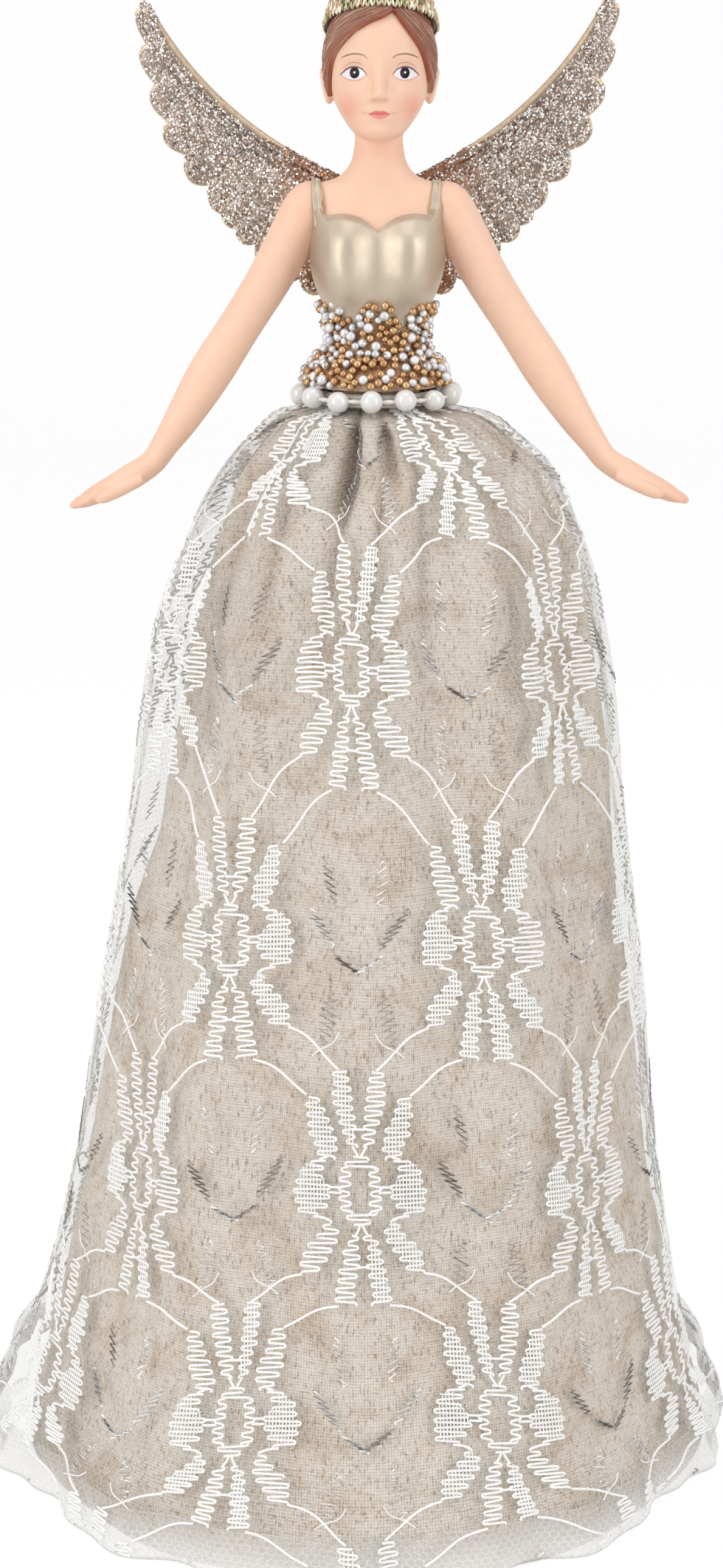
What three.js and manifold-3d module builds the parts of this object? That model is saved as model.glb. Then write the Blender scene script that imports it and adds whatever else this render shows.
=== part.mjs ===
// Fairy tree topper. A painted resin half doll with two glitter wings stands on a card cone.
// The cone wears wadding, a gathered velvet skirt and an embroidered net overlay.
// Millimetres, +Z up, the centre of the base at the origin, the face towards -Y.
import * as THREE from 'three';
import { mergeVertices } from 'three/addons/utils/BufferGeometryUtils.js';
import Module from 'manifold-3d';

const wasm = await Module();
wasm.setup();

// Fits that every piece shares
const CLEARANCE = 0.3;
const CUT_OVERRUN = 2;

// Card cone, the part that slips over the leader of the tree
const CONE_HEIGHT = 214;
const CONE_FOOT_RADIUS = 70.5;
const CONE_TOP_RADIUS = 12;
const CARD_THICKNESS = 1.4;

// Plug glued into the top of the cone, with the neck that the skirts are gathered on
const PLUG_DEPTH = 13;
const PLUG_NECK_RADIUS = 8.8;
const NECK_HEIGHT = 7.6;

// Bust casting: torso, neck and head
const PEG_RADIUS = 5;
const PEG_LENGTH = 16;
const TORSO_HEIGHT = 48;
const TORSO_HALF_WIDTH = 14;
const TORSO_HALF_DEPTH = 12;
const CUP_DEPTH = 1.8;
const CUP_OFFSET = 5.6;
const CUP_SPREAD = 3.6;
const CUP_RISE = 4.7;
const CHIN_SINK = 1.1;
const HEAD_HEIGHT = 27.6;
const HEAD_HALF_WIDTH = 9.9;
const HEAD_FRONT = 10.6;
const HEAD_BACK = 12;
const EAR_THICKNESS = 1.9;
const EAR_DEPTH = 4;
const EAR_HEIGHT = 6.6;
const EAR_LEAN_DEGREES = 15;

// Coats and shells on the casting
const HAIR_THICKNESS = 0.8;
const BUN_WIDTH = 9.4;
const BUN_DEPTH = 7.6;
const BUN_HEIGHT = 8.4;
const BODICE_THICKNESS = 0.8;
const NECKLINE_DIP = 3.2;
const BACK_NECKLINE_DROP = 4;
const STRAP_WIDTH = 1.75;
const STRAP_OFFSET = 11.8;
const ARMHOLE_DROP = 3.6;

// Coronet of ribbed metallic yarn
const CROWN_HEIGHT = 6.5;
const CROWN_SIDE_RADIUS = 11.5;
const CROWN_FRONT_RADIUS = 12;
const CROWN_THICKNESS = 0.9;
const CROWN_TAPER = 1.5;
const CROWN_RIB_DEPTH = 0.3;
const CROWN_RIBS = 28;
const CROWN_TILT_DEGREES = 28.8;
const CROWN_SEAT_HEIGHT = 19.5;
const CROWN_SEAT_BACK = 2.1;

// Arms, cast apart and pegged into the shoulders
const ARM_REACH = 61.5;
const ARM_DROP = 57.6;
const ARM_WIDTH = 9.4;
const HAND_WIDTH = 7.4;
const SHOULDER_INSET = 14.2;
const ARM_PEG_RADIUS = 1.8;
const ARM_PEG_LENGTH = 6;
const THUMB_LENGTH = 8;
const THUMB_WIDTH = 2.5;
const THUMB_OFFSET = 3;
const THUMB_DROP = 0.9;
const THUMB_TIP_OFFSET = 0.75;

// Wings, each a fan of feathers with a tongue in a slot of the back
const WING_SPAN = 41;
const WING_RISE = 34.5;
const WING_ROOT_OFFSET = 7;
const WING_THICKNESS = 1.7;
const WING_SWEEP_DEGREES = 14;
const FEATHER_WIDTH = 9.2;
const FEATHER_STEP = 0.2;
const LEADING_EDGE_RADIUS = 1.15;
const WING_TONGUE_LENGTH = 5;
const WING_TONGUE_THICKNESS = 2.4;
const WING_TONGUE_HEIGHT = 10;

// Beads sewn on a net sleeve round the waist
const BEAD_RADIUS = 1.15;
const BEAD_ROWS = 5;
const BEADS_PER_ROW = 18;
const BEAD_SLEEVE_THICKNESS = 0.4;
const BEAD_BAND_FOOT = 0.8;
const BEAD_BAND_HEIGHT = 13.6;
const BEAD_PEAK_HEIGHT = 3.4;
const BEAD_PEAKS = 5;

// String of pearls and the elastic under it
const PEARL_RADIUS = 2.2;
const PEARL_COUNT = 14;
const PEARL_RING_RADIUS = 15;
const PEARL_PHASE_DEGREES = 15.7;
const PEARL_THREAD_RADIUS = 0.4;
const ELASTIC_THICKNESS = 0.8;
const ELASTIC_HEIGHT = 2.6;

// Skirts
const SKIRT_STEPS = 40;
const SKIRT_FOLDS = 10;
const HEM_SWING = 3.5;
const VELVET_THICKNESS = 0.8;
const VELVET_FOLD_DEPTH = 2.4;
const LACE_THICKNESS = 0.5;
const LACE_STAND_OFF = 5.6;
const LACE_RIPPLE = 1.4;
const HEM_CLEARANCE = 0.5;
const LACE_TURN_UNDER = 1.1;
const WADDING_FOOT = 70;

// Heights above the base that the sizes above give
const neckTop = CONE_HEIGHT + NECK_HEIGHT;
const torsoFoot = neckTop + CLEARANCE;
const chinHeight = torsoFoot + TORSO_HEIGHT - CHIN_SINK;
const velvetHemRadius = CONE_FOOT_RADIUS + HEM_SWING;
const gatherTop = neckTop - HEM_CLEARANCE;

// Places on the torso as shares of its height
const CUP_SHARE = 0.525;
const SHOULDER_SHARE = 0.708;
const WING_ROOT_SHARE = 0.802;
const BODICE_FOOT_SHARE = 0.242;
const NECKLINE_SHARE = 0.679;

// Shared mesh tools

// A value of a share table at a place along its first column, along a smooth curve.
function shareAt(shares, column, place) {
  let row = 0;
  while (row < shares.length - 2 && place > shares[row + 1][0]) row += 1;
  const before = shares[Math.max(row - 1, 0)];
  const start = shares[row];
  const end = shares[row + 1];
  const after = shares[Math.min(row + 2, shares.length - 1)];
  const width = end[0] - start[0];
  const t = Math.min(Math.max((place - start[0]) / width, 0), 1);
  const slope = (from, to) => (to[column] - from[column]) / (to[0] - from[0]);
  const startSlope = slope(before, end);
  const endSlope = slope(start, after);
  const a = 2 * t ** 3 - 3 * t ** 2 + 1;
  const b = t ** 3 - 2 * t ** 2 + t;
  const c = 3 * t ** 2 - 2 * t ** 3;
  const d = t ** 3 - t ** 2;
  return a * start[column] + b * width * startSlope + c * end[column] + d * width * endSlope;
}

function signedVolume(positions, indices) {
  const corners = [new THREE.Vector3(), new THREE.Vector3(), new THREE.Vector3()];
  let sum = 0;
  for (let i = 0; i < indices.length; i += 3) {
    corners.forEach((corner, k) => corner.fromArray(positions, indices[i + k] * 3));
    sum += corners[0].dot(corners[1].clone().cross(corners[2]));
  }
  return sum / 6;
}

// A closed geometry with its faces pointing out, whichever way the indices ran.
function closedGeometry(positions, indices) {
  if (signedVolume(positions, indices) < 0) {
    for (let i = 0; i < indices.length; i += 3) {
      [indices[i + 1], indices[i + 2]] = [indices[i + 2], indices[i + 1]];
    }
  }
  const geometry = new THREE.BufferGeometry();
  geometry.setAttribute('position', new THREE.Float32BufferAttribute(positions, 3));
  geometry.setIndex(indices);
  geometry.computeVertexNormals();
  return geometry;
}

// A solid through rings of points. An open row of rings is capped; a looped one closes on itself.
function loft(rings, looped = false) {
  const count = rings[0].length;
  const positions = rings.flat().flatMap((point) => point.toArray());
  const indices = [];
  const spans = looped ? rings.length : rings.length - 1;
  for (let row = 0; row < spans; row += 1) {
    const next = (row + 1) % rings.length;
    for (let i = 0; i < count; i += 1) {
      const j = (i + 1) % count;
      const corners = [row * count + i, row * count + j, next * count + j, next * count + i];
      indices.push(corners[0], corners[1], corners[2], corners[0], corners[2], corners[3]);
    }
  }
  if (!looped) {
    [0, rings.length - 1].forEach((row) => {
      const centre = new THREE.Vector3();
      rings[row].forEach((point) => centre.add(point));
      centre.divideScalar(count);
      const hub = positions.length / 3;
      positions.push(...centre.toArray());
      for (let i = 0; i < count; i += 1) {
        const j = (i + 1) % count;
        const rim = [row * count + i, row * count + j];
        if (row === 0) rim.reverse();
        indices.push(rim[0], rim[1], hub);
      }
    });
  }
  return closedGeometry(positions, indices);
}

function toSolid(geometry) {
  const bare = geometry.clone();
  bare.deleteAttribute('normal');
  bare.deleteAttribute('uv');
  const merged = mergeVertices(bare);
  const vertProperties = new Float32Array(merged.attributes.position.array);
  const triVerts = new Uint32Array(merged.index.array);
  return new wasm.Manifold(new wasm.Mesh({ numProp: 3, vertProperties, triVerts }));
}

function toGeometry(solid) {
  const mesh = solid.getMesh();
  const positions = [];
  for (let i = 0; i < mesh.numVert; i += 1) {
    positions.push(...mesh.vertProperties.slice(i * mesh.numProp, i * mesh.numProp + 3));
  }
  return closedGeometry(positions, Array.from(mesh.triVerts));
}

function join(solids) {
  return solids.reduce((whole, solid) => whole.add(solid));
}

function mirrored(geometry) {
  const copy = geometry.clone();
  copy.scale(-1, 1, 1);
  return closedGeometry(Array.from(copy.attributes.position.array), Array.from(copy.index.array));
}

// A solid of revolution about Z, from a profile of radius and height pairs that closes on itself.
function turned(profile, steps) {
  const points = [...profile, profile[0]].map(([radius, height]) => new THREE.Vector2(radius, height));
  const lathe = new THREE.LatheGeometry(points, steps);
  lathe.rotateX(Math.PI / 2);
  lathe.deleteAttribute('normal');
  lathe.deleteAttribute('uv');
  const merged = mergeVertices(lathe);
  return closedGeometry(Array.from(merged.attributes.position.array), Array.from(merged.index.array));
}

// An outline in the XZ plane, extruded along Y between two places.
function prism(shape, nearY, farY, curveSteps) {
  const geometry = new THREE.ExtrudeGeometry(shape, {
    depth: farY - nearY,
    bevelEnabled: false,
    curveSegments: curveSteps,
  });
  geometry.rotateX(Math.PI / 2);
  geometry.translate(0, farY, 0);
  return geometry;
}

function ellipsoid(width, depth, height, aroundSteps, heightSteps) {
  const geometry = new THREE.SphereGeometry(1, aroundSteps, heightSteps);
  geometry.rotateX(Math.PI / 2);
  geometry.scale(width / 2, depth / 2, height / 2);
  return geometry;
}

function hill(distance, spread) {
  return Math.exp(-((distance / spread) ** 2));
}

// Surfaces of the bust. Each gives a point for a height share and an angle from the front.

// Columns: height share, half-width share, front share and back share of the torso's sizes.
const TORSO_SHARES = [
  [0, 0.89, 0.98, 0.98],
  [0.05, 0.87, 0.95, 0.95],
  [0.12, 0.65, 0.68, 0.66],
  [0.22, 0.58, 0.58, 0.57],
  [0.32, 0.67, 0.64, 0.58],
  [0.4, 0.79, 0.71, 0.61],
  [0.48, 0.87, 0.75, 0.64],
  [0.57, 0.9, 0.72, 0.66],
  [0.65, 0.9, 0.6, 0.66],
  [0.74, 0.965, 0.46, 0.62],
  [0.785, 0.95, 0.4, 0.57],
  [0.808, 0.84, 0.37, 0.54],
  [0.828, 0.6, 0.35, 0.52],
  [0.86, 0.455, 0.325, 0.5],
  [0.9, 0.375, 0.3, 0.47],
  [0.96, 0.335, 0.28, 0.43],
  [1, 0.33, 0.28, 0.4],
];

const SHOULDER_BLADE_SHARE = 0.66;

// Columns: height share, half-width share, front share and back share of the head's sizes.
const HEAD_SHARES = [
  [0, 0.18, 0.72, 0.36],
  [0.015, 0.33, 0.81, 0.41],
  [0.05, 0.49, 0.87, 0.45],
  [0.115, 0.64, 0.9, 0.5],
  [0.235, 0.84, 0.92, 0.63],
  [0.365, 0.95, 0.93, 0.82],
  [0.547, 1, 0.955, 0.98],
  [0.69, 0.93, 0.98, 0.97],
  [0.82, 0.79, 0.86, 0.84],
  [0.91, 0.59, 0.66, 0.63],
  [0.97, 0.35, 0.38, 0.38],
  [1, 0.05, 0.05, 0.05],
];

// Features of the face: share of the half-width out from the middle, height share,
// spread across and up as shares of the head's height, and depth share of its front.
const FACE_FEATURE_SHARES = [
  [0, 0.17, 0.085, 0.03, 0.045],
  [0, 0.075, 0.085, 0.05, 0.05],
  [0.46, 0.445, 0.085, 0.06, -0.055],
  [0.5, 0.29, 0.12, 0.1, 0.03],
];
const NOSE_DEPTH_SHARE = 0.2;
const NOSE_HOLLOW_POWER = 1.3;
const NOSE_WIDTH_SHARE = 0.045;
const NOSE_TIP_SHARE = 0.285;
const NOSE_FOOT_SHARE = 0.245;
const NOSE_BRIDGE_SHARE = 0.52;
const EAR_OUT_SHARE = 0.985;
const EAR_BACK_SHARE = 0.12;
const EAR_HEIGHT_SHARE = 0.355;

function sectionPoint(halfWidth, front, back, angle, height) {
  const ahead = Math.cos(angle);
  const depth = ahead > 0 ? front : back;
  return new THREE.Vector3(halfWidth * Math.sin(angle), -depth * ahead, height);
}

function torsoPoint(share, angle) {
  const height = share * TORSO_HEIGHT;
  const point = sectionPoint(
    TORSO_HALF_WIDTH * shareAt(TORSO_SHARES, 1, share),
    TORSO_HALF_DEPTH * shareAt(TORSO_SHARES, 2, share),
    TORSO_HALF_DEPTH * shareAt(TORSO_SHARES, 3, share),
    angle,
    torsoFoot + height,
  );
  if (point.y < 0) {
    const across = Math.abs(point.x) - CUP_OFFSET;
    point.y -= CUP_DEPTH * hill(across, CUP_SPREAD) * hill(height - CUP_SHARE * TORSO_HEIGHT, CUP_RISE);
  }
  return point;
}

function noseShare(share) {
  if (share > NOSE_BRIDGE_SHARE || share < NOSE_FOOT_SHARE) return 0;
  if (share < NOSE_TIP_SHARE) return (share - NOSE_FOOT_SHARE) / (NOSE_TIP_SHARE - NOSE_FOOT_SHARE);
  return ((NOSE_BRIDGE_SHARE - share) / (NOSE_BRIDGE_SHARE - NOSE_TIP_SHARE)) ** NOSE_HOLLOW_POWER;
}

function headPoint(share, angle) {
  const point = sectionPoint(
    HEAD_HALF_WIDTH * shareAt(HEAD_SHARES, 1, share),
    HEAD_FRONT * shareAt(HEAD_SHARES, 2, share),
    HEAD_BACK * shareAt(HEAD_SHARES, 3, share),
    angle,
    chinHeight + share * HEAD_HEIGHT,
  );
  if (Math.cos(angle) <= 0) return point;
  let swell = NOSE_DEPTH_SHARE * noseShare(share) * hill(point.x, NOSE_WIDTH_SHARE * HEAD_HEIGHT);
  FACE_FEATURE_SHARES.forEach(([out, up, acrossSpread, upSpread, depth]) => {
    const across = hill(Math.abs(point.x) - out * HEAD_HALF_WIDTH, acrossSpread * HEAD_HEIGHT);
    swell += depth * across * hill(share - up, upSpread);
  });
  point.y -= swell * HEAD_FRONT;
  return point;
}

// The point moved out along the surface's own normal, for coats of one thickness.
function offsetPoint(surface, share, angle, distance) {
  const point = surface(share, angle);
  if (distance === 0) return point;
  const shareStep = 0.002;
  const angleStep = 0.02;
  const low = surface(Math.max(share - shareStep, 0), angle);
  const high = surface(Math.min(share + shareStep, 1), angle);
  const left = surface(share, angle - angleStep);
  const right = surface(share, angle + angleStep);
  const normal = right.sub(left).cross(high.sub(low)).normalize();
  return point.addScaledVector(normal, distance);
}

// Rings of a surface, closer together at the front than at the back.
function surfaceSolid(surface, { from = 0, to = 1, rows, around, distance = 0, crowding = 0 }) {
  const rings = [];
  for (let row = 0; row <= rows; row += 1) {
    const share = from + ((to - from) * row) / rows;
    const ring = [];
    for (let i = 0; i < around; i += 1) {
      const turn = (2 * Math.PI * i) / around;
      ring.push(offsetPoint(surface, share, turn - crowding * Math.sin(turn), distance));
    }
    rings.push(ring);
  }
  return toSolid(loft(rings));
}

const FACE_CROWDING = 0.42;
const HEAD_MESH = { rows: 20, around: 28, crowding: FACE_CROWDING };
const COAT_MESH = { rows: 14, around: 24, from: 0.03 };
const TORSO_MESH = { rows: 20, around: 20, crowding: 0.15 };

// Pegs, tongues and the holes that take them

function upright(radius, low, high, steps) {
  const geometry = new THREE.CylinderGeometry(radius, radius, high - low, steps);
  geometry.rotateX(Math.PI / 2);
  geometry.translate(0, 0, (low + high) / 2);
  return geometry;
}

const shoulder = new THREE.Vector3(SHOULDER_INSET, 0, torsoFoot + SHOULDER_SHARE * TORSO_HEIGHT);

function armPeg(side, clearance) {
  const length = ARM_PEG_LENGTH + clearance;
  const radius = ARM_PEG_RADIUS + clearance;
  const geometry = new THREE.CylinderGeometry(radius, radius, length + CUT_OVERRUN, 10);
  geometry.rotateZ(Math.PI / 2);
  geometry.translate((CUT_OVERRUN - length) / 2, 0, 0);
  geometry.translate(shoulder.x - CUT_OVERRUN, shoulder.y, shoulder.z - ARM_WIDTH / 3);
  return toSolid(side < 0 ? mirrored(geometry) : geometry);
}

const wingBack = TORSO_HALF_DEPTH * SHOULDER_BLADE_SHARE + BODICE_THICKNESS + 2 * CLEARANCE;
const wingRootHeight = torsoFoot + WING_ROOT_SHARE * TORSO_HEIGHT;
const tongueHeight = wingRootHeight - WING_TONGUE_HEIGHT;

function wingTongue(side, clearance) {
  const length = WING_TONGUE_LENGTH + WING_THICKNESS / 2;
  const geometry = new THREE.BoxGeometry(
    WING_TONGUE_THICKNESS + 2 * clearance,
    length + 2 * clearance,
    WING_TONGUE_HEIGHT + 2 * clearance,
  );
  geometry.translate(WING_ROOT_OFFSET, wingBack - WING_TONGUE_LENGTH / 2, tongueHeight);
  return toSolid(side < 0 ? mirrored(geometry) : geometry);
}

function ear(side, clearance) {
  const grown = 2 * clearance;
  const geometry = ellipsoid(EAR_THICKNESS + grown, EAR_DEPTH + grown, EAR_HEIGHT + grown, 10, 8);
  geometry.rotateY(THREE.MathUtils.degToRad(EAR_LEAN_DEGREES));
  geometry.translate(
    HEAD_HALF_WIDTH * EAR_OUT_SHARE,
    HEAD_BACK * EAR_BACK_SHARE,
    chinHeight + HEAD_HEIGHT * EAR_HEIGHT_SHARE,
  );
  return toSolid(side < 0 ? mirrored(geometry) : geometry);
}

const sides = [-1, 1];

function makeBustCasting() {
  const torso = surfaceSolid(torsoPoint, TORSO_MESH);
  const head = surfaceSolid(headPoint, HEAD_MESH);
  const peg = toSolid(upright(PEG_RADIUS, torsoFoot - PEG_LENGTH, torsoFoot + CUT_OVERRUN, 24));
  let bust = join([torso, head, peg, ...sides.map((side) => ear(side, 0))]);
  sides.forEach((side) => {
    bust = bust.subtract(armPeg(side, CLEARANCE)).subtract(wingTongue(side, CLEARANCE));
  });
  return toGeometry(bust);
}

// Hair: a coat over the skull, open at the face and the ears, with a low bun

// The hairline as shares of the head's half-width and height, from one sideburn to the other.
const HAIRLINE_SHARES = [
  [-0.93, 0.2],
  [-0.95, 0.42],
  [-0.92, 0.545],
  [-0.76, 0.64],
  [-0.5, 0.72],
  [0, 0.79],
  [0.25, 0.845],
  [0.36, 0.8],
  [0.55, 0.69],
  [0.74, 0.6],
  [0.87, 0.5],
  [0.92, 0.36],
  [0.91, 0.2],
];

// The lower edge of the hair seen from the side, as shares of the head's back and height.
const HAIR_EDGE_SHARES = [
  [-0.45, 0.27],
  [-0.3, 0.24],
  [-0.17, 0.28],
  [-0.1, 0.5],
  [0.12, 0.54],
  [0.36, 0.45],
  [0.44, 0.22],
  [0.6, 0.08],
  [0.9, 0.04],
];

const BUN_HEIGHT_SHARE = 0.33;

function makeHairCap() {
  const outer = surfaceSolid(headPoint, { ...COAT_MESH, distance: CLEARANCE + HAIR_THICKNESS });
  const skull = surfaceSolid(headPoint, { ...HEAD_MESH, distance: CLEARANCE });
  const neck = surfaceSolid(torsoPoint, { ...TORSO_MESH, distance: CLEARANCE });
  const bunGeometry = ellipsoid(BUN_WIDTH, BUN_DEPTH, BUN_HEIGHT, 14, 9);
  bunGeometry.translate(0, HEAD_BACK, chinHeight + HEAD_HEIGHT * BUN_HEIGHT_SHARE);

  const hairline = HAIRLINE_SHARES.map(([out, up]) => {
    return new THREE.Vector2(out * HEAD_HALF_WIDTH, chinHeight + up * HEAD_HEIGHT);
  });
  const faceShape = new THREE.Shape();
  faceShape.moveTo(hairline[0].x, chinHeight - CUT_OVERRUN);
  hairline.forEach((point) => faceShape.lineTo(point.x, point.y));
  faceShape.lineTo(hairline[hairline.length - 1].x, chinHeight - CUT_OVERRUN);
  const face = toSolid(prism(faceShape, -HEAD_FRONT * 2, 0, 1));

  const edgeShape = new THREE.Shape();
  const reach = 2 * HEAD_BACK;
  edgeShape.moveTo(-reach, chinHeight - reach);
  edgeShape.lineTo(-reach, chinHeight + HEAD_HEIGHT * HAIR_EDGE_SHARES[0][1]);
  HAIR_EDGE_SHARES.forEach(([back, up]) => edgeShape.lineTo(back * HEAD_BACK, chinHeight + up * HEAD_HEIGHT));
  edgeShape.lineTo(reach, chinHeight - CUT_OVERRUN);
  edgeShape.lineTo(reach, chinHeight - reach);
  const edgeGeometry = prism(edgeShape, -reach, reach, 1);
  edgeGeometry.rotateZ(Math.PI / 2);
  const below = toSolid(edgeGeometry);

  let hair = outer.subtract(below).add(toSolid(bunGeometry)).subtract(face);
  hair = hair.subtract(skull).subtract(neck);
  sides.forEach((side) => {
    hair = hair.subtract(ear(side, CLEARANCE));
  });
  return toGeometry(hair);
}

// Coronet: a band of upright ribs, tilted back to follow the head

function makeCrownBand() {
  const tilt = THREE.MathUtils.degToRad(CROWN_TILT_DEGREES);
  const centre = new THREE.Vector3(0, CROWN_SEAT_BACK, chinHeight + CROWN_SEAT_HEIGHT);
  const up = new THREE.Vector3(0, Math.sin(tilt), Math.cos(tilt));
  const right = new THREE.Vector3(1, 0, 0);
  const front = new THREE.Vector3(0, -Math.cos(tilt), Math.sin(tilt));
  const steps = CROWN_RIBS * 2;
  const rings = [];
  for (let i = 0; i < steps; i += 1) {
    const angle = (2 * Math.PI * i) / steps;
    const groove = i % 2 === 0 ? 0 : CROWN_RIB_DEPTH;
    const place = (heightShare, inset) => {
      const climb = heightShare * CROWN_HEIGHT;
      const shrink = CROWN_TAPER * heightShare ** 2 + inset;
      return centre.clone()
        .addScaledVector(up, climb)
        .addScaledVector(right, (CROWN_SIDE_RADIUS - shrink) * Math.sin(angle))
        .addScaledVector(front, (CROWN_FRONT_RADIUS - shrink) * Math.cos(angle));
    };
    rings.push([
      place(0, CROWN_RIB_DEPTH),
      place(0.5, groove),
      place(1, groove),
      place(1, CROWN_THICKNESS),
      place(0, CROWN_THICKNESS),
    ]);
  }
  const seat = surfaceSolid(headPoint, { ...COAT_MESH, distance: 2 * CLEARANCE + HAIR_THICKNESS });
  return toGeometry(toSolid(loft(rings, true)).subtract(seat));
}

// Bodice: a coat over the chest inside a sweetheart outline, with two straps

const necklineHeight = torsoFoot + NECKLINE_SHARE * TORSO_HEIGHT;
const armholeHeight = necklineHeight - ARMHOLE_DROP;
const strapOuter = STRAP_OFFSET + STRAP_WIDTH / 2;
const strapInner = STRAP_OFFSET - STRAP_WIDTH / 2;
const CREST_OUT_SHARE = 0.62;
const CREST_UP_SHARE = 0.4;
const DIP_OUT_SHARE = 0.2;

function bodiceOutline(back) {
  const shape = new THREE.Shape();
  const low = torsoFoot + BODICE_FOOT_SHARE * TORSO_HEIGHT;
  const high = torsoFoot + TORSO_HEIGHT;
  const reach = TORSO_HALF_WIDTH + CUT_OVERRUN;
  const top = back ? necklineHeight - BACK_NECKLINE_DROP : necklineHeight;
  const dip = back ? top : necklineHeight - NECKLINE_DIP;
  shape.moveTo(-reach, low);
  shape.lineTo(-reach, armholeHeight);
  shape.quadraticCurveTo(-strapOuter, armholeHeight, -strapOuter, necklineHeight);
  shape.lineTo(-strapOuter, high);
  shape.lineTo(-strapInner, high);
  shape.lineTo(-strapInner, top);
  const [crestOut, crestUp] = [strapInner * CREST_OUT_SHARE, top + NECKLINE_DIP * CREST_UP_SHARE];
  const [dipOut, dipUp] = [strapInner * DIP_OUT_SHARE, top - NECKLINE_DIP * DIP_OUT_SHARE];
  shape.bezierCurveTo(-crestOut, crestUp, -dipOut, dipUp, 0, dip);
  shape.bezierCurveTo(dipOut, dipUp, crestOut, crestUp, strapInner, top);
  shape.lineTo(strapInner, high);
  shape.lineTo(strapOuter, high);
  shape.lineTo(strapOuter, necklineHeight);
  shape.quadraticCurveTo(strapOuter, armholeHeight, reach, armholeHeight);
  shape.lineTo(reach, low);
  return shape;
}

function makeBodiceShell() {
  const outer = surfaceSolid(torsoPoint, { ...TORSO_MESH, distance: CLEARANCE + BODICE_THICKNESS });
  const inner = surfaceSolid(torsoPoint, { ...TORSO_MESH, distance: CLEARANCE });
  const reach = TORSO_HALF_DEPTH * 2;
  const front = toSolid(prism(bodiceOutline(false), -reach, 0, 5));
  const back = toSolid(prism(bodiceOutline(true), 0, reach, 4));
  let bodice = outer.subtract(inner).intersect(front.add(back));
  sides.forEach((side) => {
    bodice = bodice.subtract(wingTongue(side, CLEARANCE)).subtract(armPeg(side, CLEARANCE));
  });
  return toGeometry(bodice);
}

// Arms: one loft from the shoulder to the finger tips, with a thumb

// Columns: share of the reach beyond the shoulder, drop share, forward share of the arm's width,
// width share and depth share of the arm's width.
const ARM_SHARES = [
  [-0.1, -0.012, 0, 0.5, 0.55],
  [-0.045, -0.03, 0, 0.74, 0.82],
  [-0.005, -0.01, 0, 0.9, 0.97],
  [0.035, 0.065, 0, 1, 1],
  [0.145, 0.23, -0.05, 0.93, 0.93],
  [0.265, 0.385, -0.1, 0.89, 0.86],
  [0.395, 0.55, 0, 0.92, 0.84],
  [0.51, 0.7, 0.15, 0.74, 0.72],
  [0.585, 0.79, 0.25, 0.58, 0.6],
  [0.64, 0.85, 0.32, 0.53, 0.62],
  [0.735, 0.9, 0.4, 0.55, 0.74],
  [0.83, 0.934, 0.45, 0.43, 0.76],
  [0.915, 0.967, 0.48, 0.34, 0.6],
  [1, 1.003, 0.5, 0.17, 0.3],
];

// Columns: share of the thumb's length and share of its width.
const THUMB_SHARES = [
  [0, 0.8],
  [0.3, 1],
  [0.65, 0.9],
  [0.9, 0.65],
  [1, 0.3],
];
const [WRIST_ROW, KNUCKLE_ROW] = [9, 11];
const THUMB_ROOT_SHARE = 0.35;
const HAND_DEPTH_SHARE = 1.25;
const WRIST_DROP_SHARE = 0.88;

// Rings square to a line of places, each with a width in the plane of the arm and a depth along Y.
function limbRings(places, around) {
  return places.map((place, row) => {
    const before = places[Math.max(row - 1, 0)].centre;
    const after = places[Math.min(row + 1, places.length - 1)].centre;
    const along = after.clone().sub(before).normalize();
    const depthAxis = new THREE.Vector3(0, 1, 0).addScaledVector(along, -along.y).normalize();
    const widthAxis = depthAxis.clone().cross(along);
    const ring = [];
    for (let i = 0; i < around; i += 1) {
      const angle = (2 * Math.PI * i) / around;
      ring.push(place.centre.clone()
        .addScaledVector(widthAxis, (place.width / 2) * Math.cos(angle))
        .addScaledVector(depthAxis, (place.depth / 2) * Math.sin(angle)));
    }
    return ring;
  });
}

function armPlace(row) {
  const [out, down, forward, width, depth] = row;
  return {
    centre: new THREE.Vector3(
      shoulder.x + out * (ARM_REACH - SHOULDER_INSET),
      shoulder.y - forward * ARM_WIDTH,
      shoulder.z - down * ARM_DROP,
    ),
    width: width * ARM_WIDTH,
    depth: depth * (down > WRIST_DROP_SHARE ? HAND_WIDTH * HAND_DEPTH_SHARE : ARM_WIDTH),
  };
}

function makeArm(side) {
  const limb = toSolid(loft(limbRings(ARM_SHARES.map(armPlace), 10)));
  const wrist = armPlace(ARM_SHARES[WRIST_ROW]).centre;
  const knuckles = armPlace(ARM_SHARES[KNUCKLE_ROW]).centre;
  const thumbLine = knuckles.clone().sub(wrist).normalize();
  const thumbRoot = wrist.clone().lerp(knuckles, THUMB_ROOT_SHARE);
  thumbRoot.add(new THREE.Vector3(0, -THUMB_OFFSET, -THUMB_DROP));
  const thumbPlaces = THUMB_SHARES.map(([share, widthShare]) => ({
    centre: thumbRoot.clone()
      .addScaledVector(thumbLine, share * THUMB_LENGTH)
      .add(new THREE.Vector3(0, -share * THUMB_TIP_OFFSET, 0)),
    width: THUMB_WIDTH * widthShare,
    depth: THUMB_WIDTH * widthShare,
  }));
  const thumb = toSolid(loft(limbRings(thumbPlaces, 8)));
  const seat = surfaceSolid(torsoPoint, { ...TORSO_MESH, distance: 2 * CLEARANCE + BODICE_THICKNESS });
  const whole = limb.add(thumb).subtract(seat);
  const pieces = whole.decompose().sort((a, b) => b.volume() - a.volume());
  const rightArm = pieces[0].add(armPeg(1, 0));
  const geometry = toGeometry(rightArm);
  return side < 0 ? mirrored(geometry) : geometry;
}

// Wings: feathers in a fan under a round leading edge

const FEATHER_SAG_SHARE = 0.12;

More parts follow.
